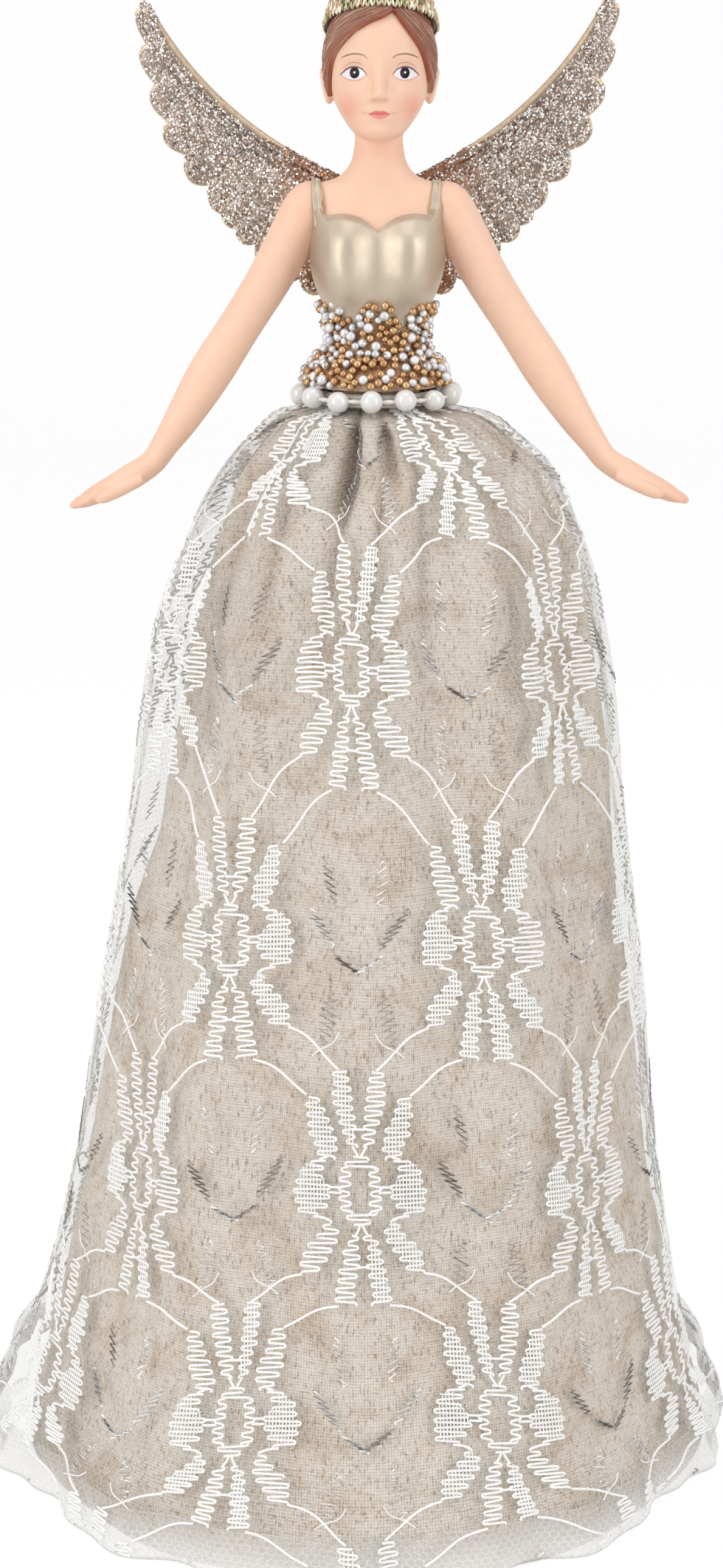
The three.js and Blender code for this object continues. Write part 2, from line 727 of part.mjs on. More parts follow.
// Each feather: share of the leading edge where it starts, its tip as shares of span and rise,
// and its width share.
const FEATHER_SHARES = [
  [0.6, 1.005, 0.985, 0.5],
  [0.54, 0.985, 0.71, 0.75],
  [0.48, 0.935, 0.485, 0.95],
  [0.42, 0.865, 0.27, 1],
  [0.36, 0.775, 0.065, 1],
  [0.3, 0.68, -0.115, 0.9],
  [0.25, 0.59, -0.245, 0.8],
  [0.2, 0.495, -0.355, 0.8],
  [0.15, 0.4, -0.455, 0.8],
  [0.1, 0.29, -0.555, 0.85],
  [0.05, 0.16, -0.63, 0.9],
];

const wingRoot = new THREE.Vector2(WING_ROOT_OFFSET, wingRootHeight);

// A place on the wing from its root, as shares of the span and the rise.
function wingPlace(out, up) {
  return new THREE.Vector2(wingRoot.x + out * WING_SPAN, wingRoot.y + up * WING_RISE);
}

const leadingEdge = new THREE.QuadraticBezierCurve(
  wingRoot,
  wingPlace(0.66, 0.32),
  wingPlace(0.98, 1),
);

// The lower line of the short feathers by the leading edge, as shares of span and rise.
const COVERT_SHARES = [
  [0.9, 0.74],
  [0.7, 0.28],
  [0.42, -0.08],
  [0.16, -0.36],
  [-0.03, -0.4],
];
const FEATHER_FOOT_SHARE = 0.7;
const FEATHER_BLUNT_POWER = 6;

function featherShape(start, tip, width) {
  const sagging = start.clone().lerp(tip, 0.5);
  const across = tip.clone().sub(start);
  sagging.add(new THREE.Vector2(-across.y, across.x).multiplyScalar(-FEATHER_SAG_SHARE));
  const spine = new THREE.QuadraticBezierCurve(start, sagging, tip);
  const steps = 5;
  const near = [];
  const far = [];
  for (let i = 0; i <= steps; i += 1) {
    const share = Math.sin((i / steps) * (Math.PI / 2));
    const centre = spine.getPoint(share);
    const tangent = spine.getTangent(share);
    const rounding = Math.sqrt(Math.max(1 - share ** FEATHER_BLUNT_POWER, 0));
    const halfWidth = (width / 2) * rounding * (FEATHER_FOOT_SHARE + (1 - FEATHER_FOOT_SHARE) * share);
    const normal = new THREE.Vector2(-tangent.y, tangent.x).multiplyScalar(halfWidth);
    near.push(centre.clone().add(normal));
    if (i < steps) far.push(centre.clone().sub(normal));
  }
  return new THREE.Shape([...near, ...far.reverse()]);
}

function makeWing(side) {
  const pieces = FEATHER_SHARES.map(([along, out, up, widthShare], row) => {
    const width = widthShare * FEATHER_WIDTH;
    const slope = leadingEdge.getTangent(along);
    const inset = new THREE.Vector2(slope.y, -slope.x).multiplyScalar(width / 2 - LEADING_EDGE_RADIUS);
    const start = leadingEdge.getPoint(along).add(inset);
    const tip = wingPlace(out, up);
    const near = (FEATHER_SHARES.length - row) * FEATHER_STEP;
    return toSolid(prism(featherShape(start, tip, width), near, near + WING_THICKNESS, 1));
  });

  const edgePath = new THREE.CatmullRomCurve3(leadingEdge.getPoints(10).map((point) => {
    return new THREE.Vector3(point.x, WING_THICKNESS / 2 + FEATHER_STEP * 3, point.y);
  }));
  const rim = new THREE.Shape();
  rim.absarc(0, 0, LEADING_EDGE_RADIUS, 0, Math.PI * 2);
  const bar = new THREE.ExtrudeGeometry(rim, { steps: 11, curveSegments: 7, extrudePath: edgePath });
  const tipBall = ellipsoid(2 * LEADING_EDGE_RADIUS, 2 * LEADING_EDGE_RADIUS, 2 * LEADING_EDGE_RADIUS, 8, 6);
  tipBall.translate(...edgePath.getPoint(1).toArray());

  const covertLine = new THREE.SplineCurve(COVERT_SHARES.map(([out, up]) => wingPlace(out, up)));
  const upperLine = leadingEdge.getPoints(8).slice(0, -1);
  const covertShape = new THREE.Shape([...upperLine, ...covertLine.getPoints(7)]);
  const covertDepth = FEATHER_SHARES.length * FEATHER_STEP + WING_THICKNESS - FEATHER_STEP;
  const coverts = toSolid(prism(covertShape, FEATHER_STEP * 2, covertDepth, 1));

  const plate = toGeometry(join([...pieces, toSolid(bar), toSolid(tipBall), coverts]));
  const sweep = Math.tan(THREE.MathUtils.degToRad(WING_SWEEP_DEGREES));
  const places = plate.attributes.position;
  for (let i = 0; i < places.count; i += 1) {
    const behind = Math.max(places.getX(i) - wingRoot.x, 0) * sweep;
    places.setY(i, places.getY(i) + wingBack + behind);
  }
  const wing = toGeometry(toSolid(plate).add(wingTongue(1, 0)));
  return side < 0 ? mirrored(wing) : wing;
}

// Waist: beads on a sleeve that follows the torso, its top edge drawn up into peaks

function bandTop(angle) {
  const peak = ((1 + Math.cos(BEAD_PEAKS * angle)) / 2) ** 2;
  return BEAD_BAND_FOOT + BEAD_BAND_HEIGHT + BEAD_PEAK_HEIGHT * peak;
}

const sleeveOffset = BODICE_THICKNESS + 2 * CLEARANCE;

// A point on the band, at a share of its height there, out from the torso by a distance.
function bandPoint(climb, angle, distance) {
  const height = BEAD_BAND_FOOT + climb * (bandTop(angle) - BEAD_BAND_FOOT);
  return offsetPoint(torsoPoint, height / TORSO_HEIGHT, angle, distance);
}

const GIRDLE_SHARE = 0.8;
const GIRDLE_RISE_SHARE = 0.6;

// Each bead is a dome in a brick cell of the sleeve, so neighbouring cells share their corners.
function makeWaistBeadBand() {
  const columns = 2 * BEADS_PER_ROW;
  const outside = sleeveOffset + BEAD_SLEEVE_THICKNESS;
  const positions = [];
  const indices = [];
  const vertex = (point) => positions.push(...point.toArray()) / 3 - 1;
  const angleOf = (column) => (2 * Math.PI * column) / columns;
  const edges = [];
  for (let row = 0; row <= BEAD_ROWS; row += 1) {
    const edge = [];
    for (let column = 0; column < columns; column += 1) {
      edge.push(vertex(bandPoint(row / BEAD_ROWS, angleOf(column), outside)));
    }
    edges.push(edge);
  }
  const inner = edges.map((edge, row) => edge.map((_, column) => {
    return vertex(bandPoint(row / BEAD_ROWS, angleOf(column), sleeveOffset));
  }));
  const quad = (a, b, c, d) => indices.push(a, b, c, a, c, d);
  for (let column = 0; column < columns; column += 1) {
    const next = (column + 1) % columns;
    quad(inner[0][column], inner[0][next], edges[0][next], edges[0][column]);
    quad(edges[BEAD_ROWS][column], edges[BEAD_ROWS][next], inner[BEAD_ROWS][next], inner[BEAD_ROWS][column]);
    for (let row = 0; row < BEAD_ROWS; row += 1) {
      quad(inner[row + 1][column], inner[row + 1][next], inner[row][next], inner[row][column]);
    }
  }
  for (let row = 0; row < BEAD_ROWS; row += 1) {
    for (let i = 0; i < BEADS_PER_ROW; i += 1) {
      const middle = 2 * i + (row % 2);
      const [left, right] = [(middle + columns - 1) % columns, (middle + 1) % columns];
      const centre = bandPoint((row + 0.5) / BEAD_ROWS, angleOf(middle), outside);
      const crest = bandPoint((row + 0.5) / BEAD_ROWS, angleOf(middle), outside + BEAD_RADIUS);
      const out = crest.clone().sub(centre);
      const rim = [
        edges[row][left], edges[row][middle], edges[row][right],
        edges[row + 1][right], edges[row + 1][middle], edges[row + 1][left],
      ];
      const girdle = rim.map((corner) => {
        const point = new THREE.Vector3().fromArray(positions, corner * 3).sub(centre);
        point.setLength(BEAD_RADIUS * GIRDLE_SHARE).add(centre).addScaledVector(out, GIRDLE_RISE_SHARE);
        return vertex(point);
      });
      const top = vertex(crest);
      rim.forEach((corner, k) => {
        const after = (k + 1) % rim.length;
        quad(corner, rim[after], girdle[after], girdle[k]);
        indices.push(girdle[k], girdle[after], top);
      });
    }
  }
  return closedGeometry(positions, indices);
}

// Pearls threaded on a ring, resting on the skirt just under the beads

function makePearlBelt() {
  const height = neckTop - ELASTIC_HEIGHT / 2;
  const thread = new THREE.TorusGeometry(PEARL_RING_RADIUS, PEARL_THREAD_RADIUS, 4, PEARL_COUNT * 2);
  thread.translate(0, 0, height);
  const pieces = [toSolid(thread)];
  for (let i = 0; i < PEARL_COUNT; i += 1) {
    const angle = THREE.MathUtils.degToRad(PEARL_PHASE_DEGREES) + (2 * Math.PI * i) / PEARL_COUNT;
    const pearl = ellipsoid(2 * PEARL_RADIUS, 2 * PEARL_RADIUS, 2 * PEARL_RADIUS, 8, 5);
    pearl.translate(PEARL_RING_RADIUS * Math.sin(angle), -PEARL_RING_RADIUS * Math.cos(angle), height);
    pieces.push(toSolid(pearl));
  }
  return toGeometry(join(pieces));
}

// Skirts: each a closed cloth with its main folds, hung from the gathered neck

// Columns: height share of the gathered top, radius share of the hem's swing, fold depth share
// and stand-off share of the net over the velvet.
const SKIRT_SHARES = [
  [0, 0.99, 0.3, 1],
  [0.04, 0.968, 0.3, 0.9],
  [0.073, 0.926, 0.3, 0.5],
  [0.135, 0.873, 0.35, 0.3],
  [0.28, 0.766, 0.42, 0.3],
  [0.445, 0.68, 0.5, 0.36],
  [0.62, 0.563, 0.6, 0.55],
  [0.76, 0.48, 0.75, 0.78],
  [0.86, 0.395, 0.95, 0.72],
  [0.925, 0.298, 1, 0.5],
  [0.9625, 0.183, 0.8, 0.36],
  [0.978, 0.125, 0.5, 0.2],
  [0.985, 0.03, 0.2, 0.08],
  [0.988, 0, 0.12, 0],
  [1, 0, 0.12, 0],
];

const neckFolds = VELVET_FOLD_DEPTH * SKIRT_SHARES[SKIRT_SHARES.length - 1][2];
const velvetNeck = PLUG_NECK_RADIUS + CLEARANCE + neckFolds + VELVET_THICKNESS;

function skirtHeight(share) {
  return HEM_CLEARANCE + share * (gatherTop - HEM_CLEARANCE);
}

function foldWave(angle, heightShare) {
  const sway = Math.sin(3 * angle) * 0.35 + Math.sin(2 * angle + 1) * 0.2;
  const folds = Math.cos(SKIRT_FOLDS * angle + sway * (1 - heightShare));
  return 0.85 * folds + 0.15 * Math.cos(3 * angle + 2);
}

function velvetPoint(row, angle, inset) {
  const [height, swing, depth] = row;
  const mean = velvetNeck + swing * (velvetHemRadius - velvetNeck);
  const radius = mean + depth * VELVET_FOLD_DEPTH * foldWave(angle, height) - inset;
  return new THREE.Vector3(radius * Math.sin(angle), -radius * Math.cos(angle), skirtHeight(height));
}

function lacePoint(row, angle, inset) {
  const [height, swing, depth, standOff] = row;
  const mean = velvetNeck + swing * (velvetHemRadius - velvetNeck);
  const ripple = LACE_RIPPLE * depth * (1 + Math.cos((SKIRT_FOLDS / 2) * angle + 2)) / 2;
  const away = CLEARANCE + LACE_THICKNESS + standOff * LACE_STAND_OFF + ripple * Math.min(standOff * 3, 1);
  const radius = mean + depth * VELVET_FOLD_DEPTH * foldWave(angle, height) + away - inset;
  return new THREE.Vector3(radius * Math.sin(angle), -radius * Math.cos(angle), skirtHeight(height));
}

function clothShell(pointAt, rows, thickness) {
  const ringOf = (row, inset) => {
    const ring = [];
    for (let i = 0; i < SKIRT_STEPS; i += 1) ring.push(pointAt(row, (2 * Math.PI * i) / SKIRT_STEPS, inset));
    return ring;
  };
  const outside = rows.map((row) => ringOf(row, 0));
  const inside = rows.map((row) => ringOf(row, thickness)).reverse();
  return loft([...outside, ...inside], true);
}

function makeVelvetSkirt() {
  const rows = SKIRT_SHARES.filter((row, index) => index !== 1);
  return clothShell(velvetPoint, rows, VELVET_THICKNESS);
}

function makeLaceOverlay() {
  const rows = SKIRT_SHARES.map(([height, swing, depth, standOff], index) => {
    const tuck = index === 0 ? LACE_TURN_UNDER / LACE_STAND_OFF : 0;
    return [height, swing, depth, standOff - tuck];
  });
  return clothShell(lacePoint, rows, LACE_THICKNESS);
}

// Wadding that fills the skirt out between the cone and the velvet

function coneRadius(height) {
  return CONE_FOOT_RADIUS + ((CONE_TOP_RADIUS - CONE_FOOT_RADIUS) * height) / CONE_HEIGHT;
}

function makeSkirtWadding() {
  const rows = SKIRT_SHARES.filter(([share]) => {
    return skirtHeight(share) > WADDING_FOOT && skirtHeight(share) < CONE_HEIGHT - CUT_OVERRUN;
  });
  const profile = rows.map((row) => {
    const radius = velvetNeck + row[1] * (velvetHemRadius - velvetNeck);
    const slack = row[2] * VELVET_FOLD_DEPTH + VELVET_THICKNESS + CLEARANCE;
    return [radius - slack, skirtHeight(row[0])];
  });
  const ends = [profile[profile.length - 1][1], profile[0][1]];
  const inside = ends.map((height) => [coneRadius(height) + CLEARANCE, height]);
  return turned([...profile, ...inside], SKIRT_STEPS);
}

function makeSkirtCone() {
  return turned([
    [CONE_FOOT_RADIUS, 0],
    [CONE_TOP_RADIUS, CONE_HEIGHT],
    [CONE_TOP_RADIUS - CARD_THICKNESS, CONE_HEIGHT],
    [CONE_FOOT_RADIUS - CARD_THICKNESS, 0],
  ], SKIRT_STEPS);
}

function makeConePlug() {
  const wall = CARD_THICKNESS + CLEARANCE;
  const hole = PEG_RADIUS + CLEARANCE;
  return turned([
    [hole, CONE_HEIGHT - PLUG_DEPTH],
    [coneRadius(CONE_HEIGHT - PLUG_DEPTH) - wall, CONE_HEIGHT - PLUG_DEPTH],
    [CONE_TOP_RADIUS - wall, CONE_HEIGHT],
    [PLUG_NECK_RADIUS, CONE_HEIGHT + CLEARANCE],
    [PLUG_NECK_RADIUS, neckTop],
    [hole, neckTop],
  ], 24);
}

function makeGatheringElastic() {
  const gathered = velvetNeck + neckFolds + LACE_THICKNESS + 2 * CLEARANCE;
  const top = neckTop - HEM_CLEARANCE / 2;
  return turned([
    [gathered, top - ELASTIC_HEIGHT],
    [gathered + ELASTIC_THICKNESS, top - ELASTIC_HEIGHT],
    [gathered + ELASTIC_THICKNESS, top],
    [gathered, top],
  ], 24);
}

// Finishes

function finish(color, roughness, metalness = 0) {
  return new THREE.MeshStandardMaterial({ color, roughness, metalness });
}

const skinPaint = finish(0xf6cbb0, 0.55);
const hairPaint = finish(0x8f5642, 0.5);
const champagnePaint = finish(0xc8b898, 0.35, 0.6);
const goldGlitter = finish(0xb79a7c, 0.4, 0.7);
const metallicYarn = finish(0xb9b78a, 0.45, 0.6);
const beadMix = finish(0xb9a07c, 0.3, 0.6);
const pearlWhite = finish(0xeeeeea, 0.2);
const whiteElastic = finish(0xe6e2da, 0.8);
const crushedVelvet = finish(0xcbb9a2, 0.9);
const whiteNet = finish(0xf1efea, 0.7);
const whiteWadding = finish(0xf4f3f0, 0.95);
const whiteCard = finish(0xefece4, 0.8);
const paleWood = finish(0xd8c39c, 0.7);

const topper = new THREE.Group();

function add(name, geometry, material) {
  const mesh = new THREE.Mesh(geometry, material);
  mesh.name = name;
  topper.add(mesh);
}

add('bust_casting', makeBustCasting(), skinPaint);
add('hair_cap', makeHairCap(), hairPaint);
add('crown_band', makeCrownBand(), metallicYarn);
add('bodice_shell', makeBodiceShell(), champagnePaint);
add('arm_left', makeArm(1), skinPaint);
add('arm_right', makeArm(-1), skinPaint);
add('wing_left', makeWing(1), goldGlitter);
add('wing_right', makeWing(-1), goldGlitter);
add('waist_bead_band', makeWaistBeadBand(), beadMix);
add('pearl_belt', makePearlBelt(), pearlWhite);
add('gathering_elastic', makeGatheringElastic(), whiteElastic);
add('velvet_skirt', makeVelvetSkirt(), crushedVelvet);
add('lace_overlay', makeLaceOverlay(), whiteNet);
add('skirt_wadding', makeSkirtWadding(), whiteWadding);
add('skirt_cone', makeSkirtCone(), whiteCard);
add('cone_plug', makeConePlug(), paleWood);

export default topper;
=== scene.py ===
"""Looks of the fairy tree topper: a painted half doll with glitter wings on a skirted cone.

Everything is written in millimetres and turned into metres when a mesh is made. The shares and
surfaces are those of the solid model, sampled more finely.
"""
import math

import bpy
import numpy as np
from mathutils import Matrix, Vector
from mathutils.bvhtree import BVHTree


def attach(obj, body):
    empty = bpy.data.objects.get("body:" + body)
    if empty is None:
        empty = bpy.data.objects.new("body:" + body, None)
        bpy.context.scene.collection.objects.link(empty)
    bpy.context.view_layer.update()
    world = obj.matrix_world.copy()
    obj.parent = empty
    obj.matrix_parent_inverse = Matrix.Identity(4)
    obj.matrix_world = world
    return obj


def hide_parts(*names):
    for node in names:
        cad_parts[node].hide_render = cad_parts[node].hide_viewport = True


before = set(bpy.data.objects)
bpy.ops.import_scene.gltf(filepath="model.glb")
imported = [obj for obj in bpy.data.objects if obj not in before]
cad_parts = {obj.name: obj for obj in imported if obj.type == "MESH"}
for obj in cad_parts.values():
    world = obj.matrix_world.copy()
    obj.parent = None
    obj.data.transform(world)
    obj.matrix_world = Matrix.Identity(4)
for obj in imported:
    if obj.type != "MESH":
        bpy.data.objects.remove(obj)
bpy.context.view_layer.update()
chance = np.random.default_rng(11)

MM = 0.001
TURN = 2 * math.pi

# Heights and sizes of the solid model
NECK_TOP = 221.6
TORSO_FOOT = 221.9
TORSO_HEIGHT = 48.0
TORSO_HALF_WIDTH = 14
TORSO_DEPTH = 12
CHIN = 268.8
HEAD_HEIGHT = 27.6
HEAD_HALF_WIDTH = 9.9
HEAD_FRONT = 10.6
HEAD_BACK = 12.0
HEM = 0.5
GATHER_TOP = 221.1
VELVET_NECK = 10.19
VELVET_HEM = 74.0
LEAN = 0.011
RIPPLE_WAVES = 5


# Small tools

def rgb(red, green, blue):
    """A display colour as linear values."""
    return tuple((value / 255) ** 2.2 for value in (red, green, blue)) + (1.0,)


def linear(colour):
    """Linear values from a grey, from a display colour of three or from four linear values."""
    if not isinstance(colour, tuple):
        return (colour, colour, colour, 1)
    return colour if len(colour) == 4 else rgb(*colour)


def paints(*colours):
    """Display colours as rows of linear values, to paint points with."""
    return np.array([rgb(*colour)[:3] for colour in colours])


def table(shares, at):
    """Every column of a share table at each place, along the same smooth curves as the solids."""
    shares = np.asarray(shares, float)
    at = np.asarray(at, float)
    keys = shares[:, 0]
    slopes = np.empty_like(shares)
    slopes[1:-1] = (shares[2:] - shares[:-2]) / (keys[2:] - keys[:-2])[:, None]
    slopes[0] = (shares[1] - shares[0]) / (keys[1] - keys[0])
    slopes[-1] = (shares[-1] - shares[-2]) / (keys[-1] - keys[-2])
    row = np.clip(np.searchsorted(keys, at, side="right") - 1, 0, len(keys) - 2)
    width = (keys[row + 1] - keys[row])[..., None]
    t = np.clip((at - keys[row])[..., None] / width, 0, 1)
    return (
        (2 * t**3 - 3 * t**2 + 1) * shares[row]
        + (t**3 - 2 * t**2 + t) * width * slopes[row]
        + (3 * t**2 - 2 * t**3) * shares[row + 1]
        + (t**3 - t**2) * width * slopes[row + 1]
    )


def curve_through(places, count):
    places = np.asarray(places, float)
    keys = np.linspace(0, 1, len(places))
    return table(np.concatenate([keys[:, None], places], 1), np.linspace(0, 1, count))[:, 1:]


def hill(distance, spread):
    return np.exp(-((distance / spread) ** 2))


def smoothstep(low, high, value):
    t = np.clip((value - low) / (high - low), 0, 1)
    return t * t * (3 - 2 * t)


def round_end(steps, start, length, least=0.0):
    """How wide a line with a round end is at each step."""
    return np.sqrt(np.clip(1 - ((steps - start) / length).clip(0, 1) ** 2, least, 1))


def unit(vectors):
    return vectors / np.maximum(np.linalg.norm(vectors, axis=-1, keepdims=True), 1e-9)


def ripple(angle, count, seed):
    """A smooth irregular wave round a full turn, between about -1 and 1."""
    source = np.random.default_rng(seed)
    value = np.zeros_like(np.asarray(angle, float))
    for _ in range(RIPPLE_WAVES):
        waves = source.integers(max(count // 2, 1), count * 2)
        value = value + np.cos(waves * angle + source.uniform(0, TURN))
    return value / math.sqrt(RIPPLE_WAVES * 2)


def full_turn(count):
    return np.linspace(0, TURN, count, endpoint=False)


def xyz(x, y, z):
    """Points from three arrays of matching shapes."""
    return np.stack(np.broadcast_arrays(x, y, z), -1)


def round_axis(radius, angle, height, sway=0.0):
    """Points at a radius from the upright axis, turned from the front towards +X."""
    return xyz(sway + radius * np.sin(angle), -radius * np.cos(angle), height)


def as_grid(points, around=False):
    """Points and faces of a surface from its rows of points."""
    rows, columns = points.shape[:2]
    row = np.arange(rows - 1)[:, None] * columns
    column = np.arange(columns if around else columns - 1)[None, :]
    a = row + column
    b = row + (column + 1) % columns
    return points.reshape(-1, 3), np.stack([a, b, b + columns, a + columns], -1).reshape(-1, 4)


def closed_rings(rings):
    """A closed mesh from rings, each end drawn together to its middle."""
    ends = (rings[:1], rings[-1:])
    first, last = (np.repeat(end.mean(1, keepdims=True), rings.shape[1], 1) for end in ends)
    return as_grid(np.concatenate([first, rings, last]), around=True)


def ball(centre, radii, rows, around):
    lift = np.linspace(-math.pi / 2, math.pi / 2, rows)[:, None]
    angle = full_turn(around)[None, :]
    point = xyz(np.cos(lift) * np.cos(angle), np.cos(lift) * np.sin(angle), np.sin(lift))
    return as_grid(np.asarray(centre) + point * np.asarray(radii), around=True)


def bar_rings(path, radius, sides):
    """The rings of a round bar along a path, with one radius or one for each point."""
    along = unit(np.gradient(path, axis=0))
    across = unit(np.cross(along, np.array([0.0, 1.0, 0.05])))
    other = np.cross(along, across)
    angle = full_turn(sides)
    ring = across[:, None] * np.cos(angle)[:, None] + other[:, None] * np.sin(angle)[:, None]
    return path[:, None] + ring * np.broadcast_to(radius, len(path))[:, None, None]


def tube(path, radius, sides):
    return closed_rings(bar_rings(path, radius, sides))


def stack_meshes(parts):
    """Points and faces of many small meshes as one."""
    starts = np.cumsum([0] + [len(points) for points, _ in parts])
    faces = [part[1] + start for part, start in zip(parts, starts)]
    return np.concatenate([points for points, _ in parts]), np.concatenate(faces)


def leaned(points):
    """The figure leans a little towards its left hand, as in the photograph."""
    points = np.array(points, float)
    points[..., 0] += LEAN * np.maximum(points[..., 2] - NECK_TOP, 0)
    return points


def leaned_mesh(points, faces):
    return leaned(points), faces


def turned_about(points, centre, degrees):
    """Points turned about an axis along Y through a centre, towards +Z for +X."""
    angle = math.radians(degrees)
    points = np.array(points, float)
    x = points[..., 0] - centre[0]
    z = points[..., 2] - centre[2]
    points[..., 0] = centre[0] + x * math.cos(angle) - z * math.sin(angle)
    points[..., 2] = centre[2] + x * math.sin(angle) + z * math.cos(angle)
    return points


def add_mesh(name, shape, material, smooth=True):
    """A mesh object from points in millimetres and faces of four corners."""
    points, faces = shape
    mesh = bpy.data.meshes.new(name)
    mesh.vertices.add(len(points))
    mesh.vertices.foreach_set("co", (points * MM).astype(np.float32).ravel())
    mesh.loops.add(faces.size)
    mesh.loops.foreach_set("vertex_index", faces.astype(np.int32).ravel())
    mesh.polygons.add(len(faces))
    mesh.polygons.foreach_set("loop_start", np.arange(0, faces.size, 4, dtype=np.int32))
    mesh.update(calc_edges=True)
    mesh.validate()
    if smooth:
        mesh.shade_smooth()
    mesh.materials.append(material)
    piece = bpy.data.objects.new(name, mesh)
    bpy.context.scene.collection.objects.link(piece)
    return piece


def uv_layer(piece, coordinates):
    """A UV map from one pair for each vertex."""
    mesh = piece.data
    layer = mesh.uv_layers.new(name="UVMap")
    corners = np.empty(len(mesh.loops), np.int32)
    mesh.loops.foreach_get("vertex_index", corners)
    values = np.asarray(coordinates, np.float32).reshape(-1, 2)[corners]
    layer.data.foreach_set("uv", values.ravel())


def colour_layer(piece, colours):
    layer = piece.data.color_attributes.new(name="paint", type="FLOAT_COLOR", domain="POINT")
    values = np.concatenate([colours, np.ones((len(colours), 1))], 1)
    layer.data.foreach_set("color", values.astype(np.float32).ravel())


def vertex_array(piece):
    values = np.empty(len(piece.data.vertices) * 3, np.float32)
    piece.data.vertices.foreach_get("co", values)
    return values.reshape(-1, 3).astype(float) / MM


def place(piece, slot, *nodes):
    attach(piece, "root")
    if nodes:
        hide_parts(*nodes)
    return piece


def make_piece(name, shape, material, slot, *nodes, smooth=True, paint=None, uv=None):
    """A piece from its points and faces, with the colours painted on them or their flat places."""
    piece = add_mesh(name, shape, material, smooth)
    if paint is not None:
        colour_layer(piece, paint)
    if uv is not None:
        uv_layer(piece, uv)
    return place(piece, slot, *nodes)


def remeshed(piece, voxel, smoothing, passes):
    """One closed skin round everything in the piece, with soft joins."""
    remesh = piece.modifiers.new("remesh", "REMESH")
    remesh.mode = "VOXEL"
    remesh.voxel_size = voxel * MM
    smooth = piece.modifiers.new("smooth", "SMOOTH")
    smooth.factor = smoothing
    smooth.iterations = passes
    evaluated = piece.evaluated_get(bpy.context.evaluated_depsgraph_get())
    mesh = bpy.data.meshes.new_from_object(evaluated)
    piece.modifiers.clear()
    piece.data = mesh
    mesh.shade_smooth()


# Material tools

class Finish:
    """A material with one Principled shader and short ways to add texture nodes."""

    def __init__(self, name, colour, roughness=0.5, **levels):
        self.material = bpy.data.materials.new(name)
        self.material.use_nodes = True
        self.tree = self.material.node_tree
        self.tree.nodes.clear()
        self.shader = self.node("ShaderNodeBsdfPrincipled")
        self.output = self.node("ShaderNodeOutputMaterial")
        self.link(self.shader.outputs[0], self.output.inputs["Surface"])
        self.set(Base_Color=linear(colour), Roughness=roughness, **levels)

    def node(self, kind, **settings):
        node = self.tree.nodes.new(kind)
        for key, value in settings.items():
            setattr(node, key, value)
        return node

    def link(self, source, target):
        self.tree.links.new(source, target)

    def feed(self, socket, value):
        if isinstance(value, bpy.types.NodeSocket):
            self.link(value, socket)
        else:
            socket.default_value = value

    def made(self, kind, inputs, **settings):
        """A node with values or links in its named inputs."""
        node = self.node(kind, **settings)
        for name, value in inputs.items():
            self.feed(node.inputs[name], value)
        return node

    def set(self, **values):
        """Inputs of the shader, with a low line for each space in their names."""
        for name, value in values.items():
            self.feed(self.shader.inputs[name.replace("_", " ")], value)

    def flat(self):
        return self.node("ShaderNodeUVMap").outputs[0]

    def place(self, scale=(1, 1, 1), source=None):
        source = source or self.node("ShaderNodeTexCoord").outputs["Object"]
        return self.made("ShaderNodeMapping", {"Vector": source, "Scale": scale}).outputs[0]

    def parts(self, vector):
        return self.made("ShaderNodeSeparateXYZ", {0: vector}).outputs

    def noise(self, vector, scale, detail=3.0, rough=0.5, distortion=0.0):
        inputs = dict(Vector=vector, Scale=scale, Detail=detail, Roughness=rough, Distortion=distortion)
        return self.made("ShaderNodeTexNoise", inputs).outputs["Fac"]

    def cells(self, vector, scale, feature="F1", output="Distance"):
        node = self.made("ShaderNodeTexVoronoi", {"Vector": vector, "Scale": scale}, feature=feature)
        return node.outputs[output]

    def wave(self, vector, scale, way="X", **inputs):
        inputs = {"Vector": vector, "Scale": scale, **inputs}
        return self.made("ShaderNodeTexWave", inputs, bands_direction=way).outputs["Fac"]

    def math(self, operation, a, b=0.0):
        return self.made("ShaderNodeMath", {0: a, 1: b}, operation=operation).outputs[0]

    def times(self, a, b):
        return self.math("MULTIPLY", a, b)

    def ramp(self, factor, stops):
        node = self.made("ShaderNodeValToRGB", {"Fac": factor})
        elements = node.color_ramp.elements
        while len(elements) < len(stops):
            elements.new(0.5)
        for element, (position, colour) in zip(elements, stops):
            element.position = position
            element.color = linear(colour)
        return node.outputs[0]

    def span(self, value, low, high, to_low=0.0, to_high=1.0):
        inputs = {"Value": value, "From Min": low, "From Max": high, "To Min": to_low, "To Max": to_high}
        return self.made("ShaderNodeMapRange", inputs).outputs[0]

    def mix(self, factor, a, b, blend="MIX"):
        inputs = {0: factor, 6: a, 7: b}
        return self.made("ShaderNodeMix", inputs, data_type="RGBA", blend_type=blend).outputs[2]

    def bump(self, height, distance, strength):
        inputs = {"Height": height, "Distance": distance * MM, "Strength": strength}
        self.set(Normal=self.made("ShaderNodeBump", inputs).outputs[0])

    def painted(self):
        return self.node("ShaderNodeAttribute", attribute_name="paint").outputs["Color"]

    def colour(self, texture, stops, over=None):
        """The colour from a ramp over a texture, on top of what is painted where that is given."""
        tone = self.ramp(texture, stops)
        self.set(Base_Color=tone if over is None else self.mix(1.0, over, tone, "MULTIPLY"))

    def gloss(self, where, scale, detail, low, high):
        """Roughness that wanders between two values."""
        self.set(Roughness=self.span(self.noise(where, scale, detail), 0.3, 0.7, low, high))


